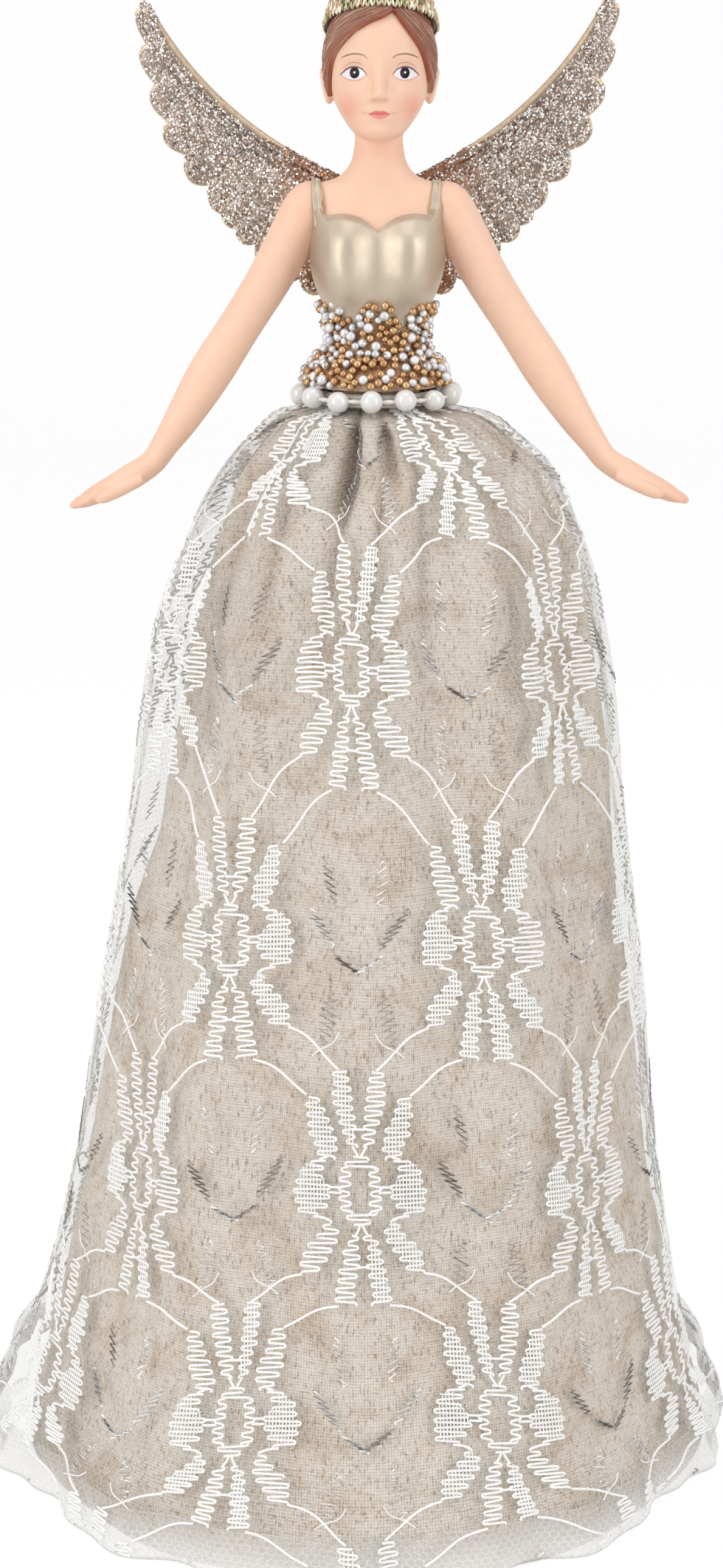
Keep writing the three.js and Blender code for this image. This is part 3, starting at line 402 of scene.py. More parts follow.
def plain_finish(name, colour, roughness, texture, stops, relief, **levels):
    """A finish whose colour and relief come from one texture, drawn by a function of the finish."""
    finish = Finish(name, colour, roughness, **levels)
    pattern = texture(finish)
    finish.colour(pattern, stops)
    finish.bump(pattern, *relief)
    return finish.material


# Camera, light and floor

LAMP_AIM = Vector((0, 0, 0.2))
FLOOR_REACH = 3000.0
FLOOR_FRONT = -1500.0
BACKDROP_FOOT = 1500.0
BACKDROP_BEND = 500.0
BACKDROP_TOP = 2500.0


def stand(name, data, location, rotation):
    holder = bpy.data.objects.new(name, data)
    holder.location = location
    holder.rotation_euler = rotation
    bpy.context.scene.collection.objects.link(holder)
    return holder


def make_camera():
    camera = bpy.data.cameras.new("photo_camera")
    camera.sensor_fit = "VERTICAL"
    camera.sensor_height = 36
    camera.lens = 58.0
    camera.shift_x = -0.0094
    camera.clip_start = 0.01
    tilt = (math.radians(90 - 15.35), 0, 0)
    bpy.context.scene.camera = stand("photo_camera", camera, (0, -0.502, 0.278), tilt)


def make_lamp(name, location, size, power):
    light = bpy.data.lights.new(name, "AREA")
    light.shape = "RECTANGLE"
    light.size, light.size_y = size
    light.energy = power
    way = LAMP_AIM - Vector(location)
    stand(name, light, location, way.to_track_quat("-Z", "Y").to_euler())


def direct_rays(tree):
    """1 for rays that see the background from the camera, in a mirror or through glass, and 0 for light."""
    rays = tree.nodes.new("ShaderNodeLightPath")
    direct = rays.outputs["Is Camera Ray"]
    for kind in ("Is Glossy Ray", "Is Transmission Ray"):
        either = tree.nodes.new("ShaderNodeMath")
        either.operation = "MAXIMUM"
        tree.links.new(direct, either.inputs[0])
        tree.links.new(rays.outputs[kind], either.inputs[1])
        direct = either.outputs[0]
    return direct


def make_world():
    world = bpy.data.worlds.new("studio")
    bpy.context.scene.world = world
    world.use_nodes = True
    tree = world.node_tree
    tree.nodes.clear()
    output = tree.nodes.new("ShaderNodeOutputWorld")
    mix = tree.nodes.new("ShaderNodeMixShader")
    tree.links.new(direct_rays(tree), mix.inputs[0])
    for socket, strength in ((1, 0.52), (2, 1.0)):
        light = tree.nodes.new("ShaderNodeBackground")
        light.inputs["Strength"].default_value = strength
        tree.links.new(light.outputs[0], mix.inputs[socket])
    tree.links.new(mix.outputs[0], output.inputs[0])


def make_floor():
    """A pale floor that rises into a backdrop behind the object."""
    finish = Finish("studio_white", (0.9, 0.9, 0.9, 1), 0.9, Specular_IOR_Level=0.1)
    glow = finish.made("ShaderNodeEmission", {"Strength": 1.06})
    seen = finish.times(direct_rays(finish.tree), 0.86)
    mix = finish.made("ShaderNodeMixShader", {0: seen, 1: finish.shader.outputs[0], 2: glow.outputs[0]})
    finish.link(mix.outputs[0], finish.output.inputs["Surface"])
    profile = [(FLOOR_FRONT, 0.0)]
    for a in np.radians(np.linspace(0, 90, 13)):
        away, up = BACKDROP_BEND * math.sin(a), BACKDROP_BEND - BACKDROP_BEND * math.cos(a)
        profile.append((BACKDROP_FOOT + away, up))
    profile.append((BACKDROP_FOOT + BACKDROP_BEND, BACKDROP_TOP))
    points = np.array([[(x, y, z) for x in (-FLOOR_REACH, FLOOR_REACH)] for y, z in profile])
    add_mesh("studio_floor", as_grid(points), finish.material)


make_camera()
make_world()
make_floor()
make_lamp("key_softbox", (-0.95, -0.72, 0.6), (0.5, 1.2), 7.6)
make_lamp("fill_softbox", (1.0, -0.66, 0.58), (0.5, 1.2), 6.2)
make_lamp("top_softbox", (0.0, -0.1, 1.2), (0.8, 0.8), 3.2)
bpy.context.scene.view_settings.view_transform = "Standard"


# Surfaces of the bust, as in the solid model

TORSO_SHARES = [
    (0, 0.89, 0.98, 0.98), (0.05, 0.87, 0.95, 0.95), (0.12, 0.65, 0.68, 0.66), (0.22, 0.58, 0.58, 0.57),
    (0.32, 0.67, 0.64, 0.58), (0.4, 0.79, 0.71, 0.61), (0.48, 0.87, 0.75, 0.64), (0.57, 0.9, 0.72, 0.66),
    (0.65, 0.9, 0.6, 0.66), (0.74, 0.965, 0.46, 0.62), (0.785, 0.95, 0.4, 0.57), (0.808, 0.84, 0.37, 0.54),
    (0.828, 0.6, 0.35, 0.52), (0.86, 0.455, 0.325, 0.5), (0.9, 0.375, 0.3, 0.47), (0.96, 0.335, 0.28, 0.43),
    (1, 0.33, 0.28, 0.4),
]
HEAD_SHARES = [
    (0, 0.18, 0.72, 0.36), (0.015, 0.33, 0.81, 0.41), (0.05, 0.49, 0.87, 0.45), (0.115, 0.64, 0.9, 0.5),
    (0.235, 0.84, 0.92, 0.63), (0.365, 0.95, 0.93, 0.82), (0.547, 1, 0.955, 0.98), (0.69, 0.93, 0.98, 0.97),
    (0.82, 0.79, 0.86, 0.84), (0.91, 0.59, 0.66, 0.63), (0.97, 0.35, 0.38, 0.38), (1, 0.05, 0.05, 0.05),
]
# Swellings of the face in millimetres: out, up from the chin, spread out, spread up, depth
FACE_SWELLS = [
    (4.7, 12.7, 2.7, 1.8, -0.6), (4.7, 12.3, 1.9, 1.1, 0.42), (4.8, 15.7, 2.8, 1.1, 0.22),
    (5.2, 7.6, 3.2, 2.8, 0.35), (1.45, 7.9, 0.75, 0.75, 0.55), (0.75, 5.55, 1.2, 0.5, 0.34),
    (0.0, 4.35, 1.5, 0.55, 0.42), (0.0, 4.92, 1.9, 0.2, -0.3), (0.0, 6.4, 0.45, 0.6, -0.14),
    (0.0, 3.2, 1.7, 0.5, -0.2), (0.0, 1.9, 2.2, 1.3, 0.42),
]
# How far the nose stands out, by height above the chin
NOSE_PROFILE = [
    (6.9, 0), (7.3, 0.6), (7.9, 1.75), (8.5, 2.15), (9.4, 1.9), (11.0, 1.25), (13.0, 0.6),
    (15.0, 0.1), (16, 0),
]


def section(half, front, back, angle, height):
    ahead = np.cos(angle)
    return xyz(half * np.sin(angle), -np.where(ahead > 0, front, back) * ahead, height)


def torso(share, angle):
    _, half, ahead, behind = np.moveaxis(table(TORSO_SHARES, share), -1, 0)
    height = share * TORSO_HEIGHT
    half = TORSO_HALF_WIDTH * half
    point = section(half, TORSO_DEPTH * ahead, TORSO_DEPTH * behind, angle, TORSO_FOOT + height)
    cup = 1.8 * hill(np.abs(point[..., 0]) - 5.6, 3.6) * hill(height - 25.2, 4.7)
    point[..., 1] -= np.where(point[..., 1] < 0, cup, 0)
    return point


def head(share, angle):
    _, half, ahead, behind = np.moveaxis(table(HEAD_SHARES, share), -1, 0)
    height = share * HEAD_HEIGHT
    point = section(HEAD_HALF_WIDTH * half, HEAD_FRONT * ahead, HEAD_BACK * behind, angle, CHIN + height)
    x = point[..., 0]
    nose = np.interp(height, *zip(*NOSE_PROFILE))
    swell = nose * hill(x, 0.75 + 0.35 * hill(height - 8.2, 1.6))
    for out, up, spread, rise, depth in FACE_SWELLS:
        swell = swell + depth * hill(np.abs(x) - out, spread) * hill(height - up, rise)
    point[..., 1] -= np.where(np.cos(angle) > 0, swell * np.clip(np.cos(angle) * 2, 0, 1), 0)
    return point


def offset(surface, share, angle, distance):
    point = surface(share, angle)
    low = surface(np.maximum(share - 0.002, 0), angle)
    high = surface(np.minimum(share + 0.002, 1), angle)
    left = surface(share, angle - 0.02)
    right = surface(share, angle + 0.02)
    normal = unit(np.cross(right - left, high - low))
    return point + normal * np.asarray(distance)[..., None]


def full_surface(surface, rows, around):
    share = np.linspace(0, 1, rows)[:, None]
    angle = full_turn(around)[None, :]
    return closed_rings(surface(share + 0 * angle, angle + 0 * share))


# Skin: the bust with its head, and the two arms

SKIN = (247, 206, 180)
# Tints of the face and painted shade on it: strength, out from the middle, spread out, up from the chin,
# spread up, colour
FACE_TINTS_AND_SHADE = [
    (0.62, 6.3, 2.5, 6.0, 2.5, (246, 158, 138)),
    (0.35, 5.0, 2.2, 14.1, 0.8, (222, 182, 140)),
    # The first two rows are blush and eyeshadow; the rest are painted shade: beside the nose in the eye
    # sockets, on the sides of the nose, under the nose, in the nostrils, under the lower lip and at the
    # corners of the mouth
    (0.3, 2.0, 0.8, 12.6, 1.4, (236, 172, 146)),
    (0.4, 1.25, 0.4, 10.3, 2.3, (233, 172, 146)),
    (0.35, 0.0, 1.6, 7.4, 0.3, (228, 164, 136)),
    (0.35, 1.1, 0.4, 7.5, 0.22, (190, 124, 98)),
    (0.22, 0.0, 2.6, 3.2, 0.5, (236, 162, 136)),
    (0.4, 2.6, 0.6, 5.05, 0.22, (214, 134, 110)),
]


def skin_finish():
    finish = Finish("skin_paint", SKIN, Specular_IOR_Level=0.35)
    where = finish.place()
    mottle = [(0.3, (0.965, 0.955, 0.95, 1)), (0.7, 1)]
    finish.colour(finish.noise(where, 260, 4), mottle, finish.painted())
    finish.gloss(where, 700, 3, 0.42, 0.56)
    finish.bump(finish.noise(where, 1500, 3), 0.02, 0.4)
    finish.set(Subsurface_Weight=0.12, Subsurface_Radius=(0.004, 0.0016, 0.0009), Subsurface_Scale=0.35)
    return finish.material


def tinted(colours, mask, colour):
    mask = np.clip(mask, 0, 1)[:, None]
    return colours * (1 - mask) + paints(colour) * mask


def bust_colours(points):
    colours = np.repeat(paints(SKIN), len(points), 0)
    up = points[:, 2] - CHIN
    front = smoothstep(-2, -6, points[:, 1])
    out = np.abs(points[:, 0] - LEAN * (points[:, 2] - NECK_TOP))
    for strength, aside, wide, height, tall, colour in FACE_TINTS_AND_SHADE:
        mask = strength * front * hill(out - aside, wide) * hill(up - height, tall)
        colours = tinted(colours, mask, colour)
    # Painted shade under the chin, at the top of the neck
    colours = tinted(colours, 0.3 * hill(up + 1.5, 2.6), (236, 176, 145))
    return tinted(colours, 0.22 * smoothstep(11, 15, out) * smoothstep(0, -5, up), (238, 178, 150))


def arm_colours(points):
    colours = np.repeat(paints(SKIN), len(points), 0)
    reach = np.abs(points[:, 0])
    colours = tinted(colours, 0.3 * smoothstep(50, 61, reach), (240, 172, 146))
    return tinted(colours, 0.18 * smoothstep(20, 14, reach), (240, 180, 152))


def make_bust(material):
    rod = np.linspace(TORSO_FOOT - 15.9, TORSO_FOOT + 2, 8)
    peg = tube(xyz(0 * rod, 0 * rod, rod), 4.9, 32)
    parts = [full_surface(torso, 150, 150), full_surface(head, 190, 260), peg]
    for side in (-1, 1):
        ear, faces = ball((0, 0, 0), (1.15, 2.1, 3.5), 28, 36)
        hollow = hill(ear[:, 1] + 0.2, 1.05) * hill(ear[:, 2] - 0.3, 1.9)
        ear[:, 0] -= side * 0.95 * hollow * (ear[:, 0] * side > 0)
        ear = turned_about(ear, (0, 0, 0), -side * 14)
        parts.append((ear + np.array([side * (HEAD_HALF_WIDTH + 0.45), 1.7, CHIN + 10.0]), faces))
    bust = add_mesh("bust_skin", leaned_mesh(*stack_meshes(parts)), material)
    remeshed(bust, 0.27, 0.5, 3)
    colour_layer(bust, bust_colours(vertex_array(bust)))
    return place(bust, "skin_paint", "bust_casting")


# The arm's line and thickness: out, down and forward, then half width and depth
ARM_SHARES = [
    (-0.1, -0.012, 0, 0.5, 0.55), (-0.045, -0.03, 0, 0.74, 0.82), (-0.005, -0.01, 0, 0.9, 0.97),
    (0.035, 0.065, 0, 1, 1), (0.145, 0.23, -0.05, 0.93, 0.93), (0.265, 0.385, -0.1, 0.89, 0.86),
    (0.395, 0.55, 0, 0.92, 0.84), (0.51, 0.7, 0.15, 0.74, 0.72), (0.585, 0.79, 0.25, 0.58, 0.6),
    (0.64, 0.85, 0.32, 0.53, 0.62), (0.735, 0.9, 0.4, 0.55, 0.74), (0.8, 0.926, 0.44, 0.47, 0.78),
    (0.86, 0.95, 0.47, 0.41, 0.76), (0.915, 0.973, 0.49, 0.32, 0.66), (0.955, 0.99, 0.5, 0.16, 0.36),
]
SHOULDER = (14.2, 0.0, TORSO_FOOT + 34)
ARM_REACH = 47.3
ARM_DROP = 57.6
ARM_DEPTH = 9.4
HAND_DEPTH = 9.25
ARM_HALF_WIDTH = 4.7
# Fingers: forward of the palm's middle, length, width and droop
FINGERS = [(-2.3, 9.2, 1.12, 0.35), (-0.75, 10.6, 1.18, 0.1), (0.8, 10.2, 1.15, 0.0), (2.2, 8.4, 1.03, 0.2)]
THUMB_LENGTH = 9.8


def arm_line(rows):
    rows = np.asarray(rows, float)
    x, y, z = SHOULDER
    return xyz(x + rows[:, 0] * ARM_REACH, y - rows[:, 2] * ARM_DEPTH, z - rows[:, 1] * ARM_DROP)


def arm_point(out, down, forward):
    return arm_line([(out, down, forward)])[0]


def make_fingers():
    """Four fingers and a thumb along the hand."""
    hand = unit(arm_point(1, 1.003, 0.5) - arm_point(0.8, 0.924, 0.44))
    down = np.array([hand[2], 0, -hand[0]])
    palm = arm_point(0.78, 0.916, 0.43)
    steps = np.linspace(0, 1, 24)
    fingers = []
    for forward, length, width, droop in FINGERS:
        path = palm + hand * steps[:, None] * length
        path[:, 1] += forward * (1 - 0.18 * steps)
        path = path + down * (droop * steps - 0.2 * np.sin(steps * math.pi))[:, None]
        radius = width * round_end(steps, 0.86, 0.145) * (1 - 0.22 * steps)
        fingers.append(tube(path, np.maximum(radius, 0.05), 16))
    steps = np.linspace(0, 1, 20)
    thumb = arm_point(0.67, 0.872, 0.36) + hand * (1 + steps[:, None] * THUMB_LENGTH)
    thumb[:, 1] -= 2.6 + 1.5 * np.sin(steps * 1.9)
    thumb = thumb + down * (1.3 - 0.5 * steps)[:, None]
    radius = 1.28 * round_end(steps, 0.8, 0.205) * (0.8 + 0.3 * np.sin(steps * 2.6))
    return fingers + [tube(thumb, np.maximum(radius, 0.05), 16)]


def make_arm(side, material):
    name = "arm_left" if side > 0 else "arm_right"
    fine = curve_through(ARM_SHARES, 90)
    centre = arm_line(fine)
    along = unit(np.gradient(centre, axis=0))
    depth_axis = unit(np.array([0, 1.0, 0]) - along * along[:, 1:2])
    width_axis = np.cross(depth_axis, along)
    depth = fine[:, 4] * np.where(fine[:, 1] > 0.88, HAND_DEPTH, ARM_DEPTH)
    depth = np.convolve(np.pad(depth, 4, mode="edge"), np.ones(9) / 9, mode="valid")
    angle = full_turn(48)[:, None]
    rings = (
        centre[:, None]
        + (width_axis * fine[:, 3:4] * ARM_HALF_WIDTH)[:, None] * np.cos(angle)
        + (depth_axis * depth[:, None] / 2)[:, None] * np.sin(angle)
    )
    points, faces = stack_meshes([closed_rings(rings)] + make_fingers())
    points = turned_about(points, SHOULDER, 1.3 if side > 0 else 0.0)
    points[:, 0] *= side
    arm = add_mesh(name + "_skin", leaned_mesh(points, faces), material)
    remeshed(arm, 0.25, 0.5, 2)
    colour_layer(arm, arm_colours(vertex_array(arm)))
    return place(arm, "skin_paint", name)


def surface_of(piece):
    points = vertex_array(piece)
    faces = [tuple(polygon.vertices) for polygon in piece.data.polygons]
    return BVHTree.FromPolygons([Vector(point) for point in points], faces)


skin = skin_finish()
bust = make_bust(skin)
arms = [make_arm(side, skin) for side in (-1, 1)]
bust_surface = surface_of(bust)


# Face paint, laid on the skin as thin shapes

# Display colour, roughness and specular level
FACE_PAINTS = {
    "eye_white": ((250, 240, 243), 0.3, 0.4),
    "iris_paint": ((26, 12, 18), 0.3, 0.12),
    "iris_edge": ((60, 40, 52), 0.3, 0.15),
    "eye_glint": ((255, 255, 255), 0.2, 0.4),
    "lash_paint": ((104, 66, 78), 0.5, 0.4),
    "brow_paint": ((160, 114, 90), 0.6, 0.4),
    "lid_paint": ((226, 168, 156), 0.5, 0.4),
    "lip_paint": ((234, 126, 122), 0.4, 0.4),
    "lower_lip_paint": ((240, 152, 140), 0.4, 0.4),
    "lip_line": ((212, 102, 98), 0.5, 0.4),
    # Painted shade for the crease above the eyelid
    "crease_shade_paint": ((206, 142, 118), 0.6, 0.4),
}
UPPER_LID = [(2.5, 12.1), (3.3, 13.0), (4.7, 13.42), (6.1, 13.02), (7.3, 12.0)]
LOWER_LID = [(2.5, 12.1), (3.4, 11.42), (4.7, 11.15), (6.1, 11.35), (7.3, 12.0)]
IRIS = (4.72, 12.42)
IRIS_TOP = 13.36
# Round spots of the eye: name, half width and height, lift, paint and shift from the iris
EYE_SPOTS = [
    ("iris_edge_", (0.9, 1.04), 0.045, "iris_edge", (0, 0)),
    ("iris_", (0.83, 0.97), 0.06, "iris_paint", (0, 0)),
    ("iris_sheen_", (0.3, 0.46), 0.075, "iris_edge", (-0.42, -0.14)),
    ("glint_", (0.19, 0.19), 0.09, "eye_glint", (0.02, 0.06)),
]
# Painted lines of the eye: name, places out and up, widths, lift and paint
EYE_LINES = [
    ("lash_", [(2.4, 12.0), (3.25, 13.03), (4.7, 13.5), (6.15, 13.12), (7.5, 11.95)],
     [0.08, 0.18, 0.26, 0.26, 0.08], 0.1, "lash_paint"),
    ("lower_lid_", [(2.9, 11.7), (3.8, 11.18), (4.7, 11.06), (6.1, 11.26), (7.2, 11.9)],
     [0.08, 0.14, 0.16, 0.14, 0.08], 0.1, "lid_paint"),
    # A line of painted shade in the crease above the eyelid
    ("lid_fold_shade_", [(3.0, 13.55), (3.9, 14.15), (4.9, 14.3), (6.0, 14.0), (7.0, 13.2)],
     [0.04, 0.1, 0.12, 0.1, 0.04], 0.03, "crease_shade_paint"),
    ("brow_", [(2.25, 15.0), (3.3, 15.65), (4.8, 15.85), (6.2, 15.6), (7.35, 15.1)],
     [0.07, 0.18, 0.24, 0.24, 0.1], 0.03, "brow_paint"),
]
LIP_MIDDLE = [(-2.12, 4.9), (-1.1, 4.9), (0, 4.78), (1.1, 4.9), (2.12, 4.9)]
LIP_BOW = [(-2.12, 4.9), (-1.3, 5.3), (-0.62, 5.5), (0, 5.4), (0.62, 5.5), (1.3, 5.3), (2.12, 4.9)]
LIP_POUT = [(-2.12, 4.9), (-1.25, 4.3), (0, 4.02), (1.25, 4.3), (2.12, 4.9)]


def face_paint(name, colour, roughness, specular):
    finish = Finish(name, colour, roughness, Specular_IOR_Level=specular)
    grain = finish.noise(finish.place(), 1800, 3)
    finish.colour(grain, [(0.3, 0.9), (0.7, 1)], rgb(*colour))
    return finish.material


def on_face(x, up, lift):
    """Points of the skin straight behind places on the face."""
    points = []
    for across, height in zip(np.ravel(x), np.ravel(up)):
        z = CHIN + height
        start = Vector((across + LEAN * (z - NECK_TOP), -40, z))
        hit, normal, _, _ = bust_surface.ray_cast(start, Vector((0, 1, 0)))
        points.append(hit + normal * lift)
    return np.array(points).reshape(*np.shape(x), 3)


def between(name, low, high, rows, lift, material):
    """A thin piece of paint between two lines on the face, each an array of out and up."""
    share = np.linspace(0, 1, rows)[:, None, None]
    grid = low[None] * (1 - share) + high[None] * share
    make_piece(name, as_grid(on_face(grid[..., 0], grid[..., 1], lift)), material, "skin_paint")


def brush_line(name, places, widths, lift, material):
    """A painted line with a width that changes along it."""
    line = curve_through(places, 30)
    width = curve_through(np.asarray(widths, float)[:, None], 30)
    along = unit(np.gradient(line, axis=0))
    across = np.stack([-along[:, 1], along[:, 0]], -1) * width / 2
    between(name, line - across, line + across, 3, lift, material)


def make_face():
    paint = {name: face_paint(name, *values) for name, values in FACE_PAINTS.items()}
    angle = np.linspace(0, TURN, 41)
    rim = np.stack([np.cos(angle), np.sin(angle)], -1)
    for side, name in ((-1, "right"), (1, "left")):
        flip = np.array([side, 1.0])
        lower, upper = (curve_through(lid, 40) * flip for lid in (LOWER_LID, UPPER_LID))
        between("eye_white_" + name, lower, upper, 14, 0.02, paint["eye_white"])
        for kind, radii, lift, tone, shift in EYE_SPOTS:
            centre = np.array(IRIS) * flip + np.array(shift)
            outer = centre + rim * np.array(radii)
            outer[:, 1] = np.minimum(outer[:, 1], IRIS_TOP)
            between(kind + name, np.repeat(centre[None], len(rim), 0), outer, 5, lift, paint[tone])
        for kind, places, widths, lift, tone in EYE_LINES:
            brush_line(kind + name, np.array(places) * flip, widths, lift, paint[tone])
    middle, bow, pout = (curve_through(places, 36) for places in (LIP_MIDDLE, LIP_BOW, LIP_POUT))
    between("upper_lip", middle, bow, 8, 0.02, paint["lip_paint"])
    between("lower_lip", pout, middle, 8, 0.02, paint["lower_lip_paint"])
    brush_line("lip_part", middle[::7], [0.05, 0.1, 0.12, 0.12, 0.1, 0.05], 0.05, paint["lip_line"])


# Hair: a painted relief over the skull, its strands running back from the parting to the bun

# The lower edge of the hair: degrees from the front and height above the chin
HAIR_EDGE = [
    (-180, 1.4), (-152, 2.0), (-128, 4.6), (-118, 8.0), (-111, 12.6), (-102, 13.6), (-95, 12.4), (-91.5, 8.6),
    (-86, 8.1), (-78, 9.4), (-70, 11.4), (-62, 14.0), (-53, 16.2), (-42, 18.1), (-31, 19.7), (-14, 21.2),
    (4, 22.2), (17, 23.2), (20, 23.2), (25.5, 21.6), (35, 19.5), (46, 17.2), (54, 15.0), (61, 13.0),
    (70, 10.9), (80, 9.4), (88, 8.7), (91.5, 9.2), (95, 12.4), (102, 13.6), (111, 12.6), (118, 8.0),
    (128, 4.6), (152, 2.0), (180, 1.4),
]
HAIR_TOP = 27.3
PARTING = 18.5
BUN_PLACE = (0, 12.0, CHIN + 9.1)


def hair_finish():
    finish = Finish("hair_paint", (134, 80, 60), 0.42, Specular_IOR_Level=0.45)
    strands = finish.flat()
    streak = finish.noise(finish.place((7, 52, 1), strands), 1.0, 6, 0.65, 0.3)
    colour = finish.ramp(streak, [
        (0.3, (100, 56, 42)), (0.43, (134, 82, 62)), (0.53, (156, 106, 86)), (0.6, (206, 174, 152)),
    ])
    edge = finish.span(finish.parts(strands)["Y"], 0.0, 0.14, 1.0, 0.0)
    finish.set(Base_Color=finish.mix(finish.times(edge, 0.6), colour, rgb(150, 74, 50)))
    finish.set(Roughness=finish.span(streak, 0.3, 0.7, 0.5, 0.36))
    finish.bump(streak, 0.14, 0.7)
    return finish.material


def make_hair():
    material = hair_finish()
    degrees = np.linspace(-180, 180, 560, endpoint=False)
    edge = np.interp(degrees, *zip(*HAIR_EDGE))
    edge = np.convolve(np.concatenate([edge[-2:], edge, edge[:2]]), np.ones(5) / 5, mode="valid")
    angle = np.radians(degrees)
    rise = np.concatenate([[0, 0, 0.004, 0.01, 0.02], np.linspace(0.035, 1, 130)])
    share = (edge[None, :] + (HAIR_TOP - edge[None, :]) * rise[:, None] ** 0.92) / HEAD_HEIGHT
    flow = rise[:, None] * 46 + 1.1 * ripple(angle, 3, 5)[None, :] + 1.6 * np.sin(angle * 2)[None, :]
    strands = 0.5 * np.sin(flow * 2.1) + 0.3 * np.sin(flow * 4.7 + 1)
    strands = strands + 0.25 * np.sin(flow * 9.3 + angle[None, :] * 3)
    parting = hill(degrees[None, :] - PARTING, 2.2) * smoothstep(0.9, 0.3, rise)[:, None]
    thick = 1.12 + 0.13 * strands - 0.5 * parting
    thick[:5] = np.array([-0.35, 0.45, 0.85, 1.0, 1.05])[:, None]
    points = offset(head, share, angle[None, :] + 0 * share, thick)
    uv = np.stack(np.broadcast_arrays(angle[None, :] / TURN, rise[:, None]), -1)
    make_piece("hair_relief", as_grid(leaned(points), True), material, "hair_paint", "hair_cap", uv=uv)

    lift = np.linspace(-math.pi / 2, math.pi / 2, 60)[:, None]
    turn = full_turn(90)[None, :]
    swirl = turn + 1.4 * np.sin(lift)
    depth = 1 + 0.035 * np.sin(11 * swirl) + 0.02 * np.sin(23 * swirl + 1)
    knot = xyz(4.7 * np.cos(lift) * np.cos(turn), 3.9 * np.sin(lift), 4.2 * np.cos(lift) * np.sin(turn))
    knot = leaned(knot * depth[..., None] + np.array(BUN_PLACE))
    uv = np.stack(np.broadcast_arrays(lift / 3, 0.3 + 0.7 * (np.sin(swirl * 2) + 1) / 2), -1)
    make_piece("hair_bun", as_grid(knot, True), material, "hair_paint", "hair_cap", uv=uv)


# Coronet: stitches of metallic yarn in upright ribs

CROWN_TILT = math.radians(19.5)
CROWN_COLUMNS = 68
CROWN_ROWS = 5
CROWN_PITCH = 1.3
# Tones of the stitches: green-gold and pinkish brown, with near-white ones as painted glints and dark olive
# ones as painted shade
CROWN_TONES_GLINTS_AND_SHADE = [(204, 194, 158), (246, 240, 222), (142, 128, 94), (194, 146, 120)]
CROWN_PARTS = (0.42, 0.2, 0.2, 0.18)
# The backing: dark outside, painted shade between the stitches, and lighter inside, painted light in the
# shaded hollow of the band
CROWN_BACKING_SHADE_AND_LIGHT = [(78, 70, 48), (176, 158, 118)]


def crown_finish():
    finish = Finish("metallic_yarn", (206, 202, 156), 0.34, Metallic=0.45)
    glints = finish.cells(finish.place(), 3200, output="Color")
    flecks = [(0.1, (0.55, 0.52, 0.4, 1)), (0.35, (0.9, 0.9, 0.86, 1)), (0.7, 1), (0.9, 1.2)]
    finish.colour(finish.times(glints, 1.0), flecks, finish.painted())
    finish.bump(glints, 0.08, 0.8)
    return finish.material


def crown_surface(angle, height, lift):
    """A place on the coronet, by its turn, its height up the leaning band and its stand-off."""
    angle, height, lift = np.broadcast_arrays(angle, height, lift)
    up = np.array([0, math.sin(CROWN_TILT), math.cos(CROWN_TILT)])
    ahead = np.array([0, -math.cos(CROWN_TILT), math.sin(CROWN_TILT)])
    inset = 1.9 * np.clip(height / 6.5, 0, None) ** 1.2 + 0.55 - lift
    return (
        np.array([0.15, 1.7, CHIN + 20.9])
        + up * height[..., None]
        + np.array([1.0, 0, 0]) * ((11.1 - inset) * np.sin(angle))[..., None]
        + ahead * ((11.9 - inset) * np.cos(angle))[..., None]
    )


def make_crown():
    material = crown_finish()
    tones = paints(*CROWN_TONES_GLINTS_AND_SHADE)
    parts, colours = [], []
    leg = np.linspace(0, 1, 7)
    thick = 0.25 * np.array([0.5, 0.95, 1, 1, 1, 0.9, 0.5])
    for column in range(CROWN_COLUMNS):
        for row in range(CROWN_ROWS):
            for side in (-1, 1):
                jig = chance.normal(0, 0.05, 3)
                angle = (column + 0.5 + side * (0.44 - 0.36 * leg**1.4) + jig[0]) * TURN / CROWN_COLUMNS
                height = (row + 1.05 - 1.35 * leg + jig[1]) * CROWN_PITCH
                lift = 0.12 + 0.3 * np.sin(leg * math.pi) + 0.1 * leg + jig[2]
                parts.append(tube(crown_surface(angle, height, lift), thick, 7))
                tone = tones[chance.choice(4, p=CROWN_PARTS)]
                colours.append(np.repeat(tone[None], len(parts[-1][0]), 0))
    stitches, paint = leaned_mesh(*stack_meshes(parts)), np.concatenate(colours)
    make_piece("crown_stitches", stitches, material, "metallic_yarn", "crown_band", paint=paint)
    angle = full_turn(300)[None, :]
    climb = np.linspace(0.05, 6.5, 30)[:, None]
    outer = crown_surface(angle, climb, 0)
    inner = crown_surface(angle, climb[::-1], -0.45 - 0.75 * smoothstep(3, 0, climb[::-1]))
    points = np.concatenate([outer, inner, outer[:1]])
    shade = 0.5 + 0.5 * np.random.default_rng(3).random(points.size // 3)
    # Painted shade outside and painted light inside, both varied at random
    inside = np.repeat([0, 1, 0], (outer.size // 3, inner.size // 3, angle.size))
    paint = paints(*CROWN_BACKING_SHADE_AND_LIGHT)[inside] * shade[:, None]
    band = as_grid(leaned(points), True)
    make_piece("crown_backing", band, material, "metallic_yarn", "crown_band", paint=paint)


# Bodice: a thin metallic shell with a sweetheart edge, and two straps

# The upper edge of the bodice: degrees from the front and height
BODICE_EDGE = [
    (0, 251.5), (4, 252.3), (8, 253.2), (14, 254.15), (22, 254.8), (32, 255.05), (44, 254.85), (50, 254.9),
    (53, 255.6), (55.5, 257.6), (67, 257.6), (71, 255.6), (76, 254.0), (82, 252.6), (90, 251.2), (110, 250.9),
    (130, 251.4), (180, 251.0),
]
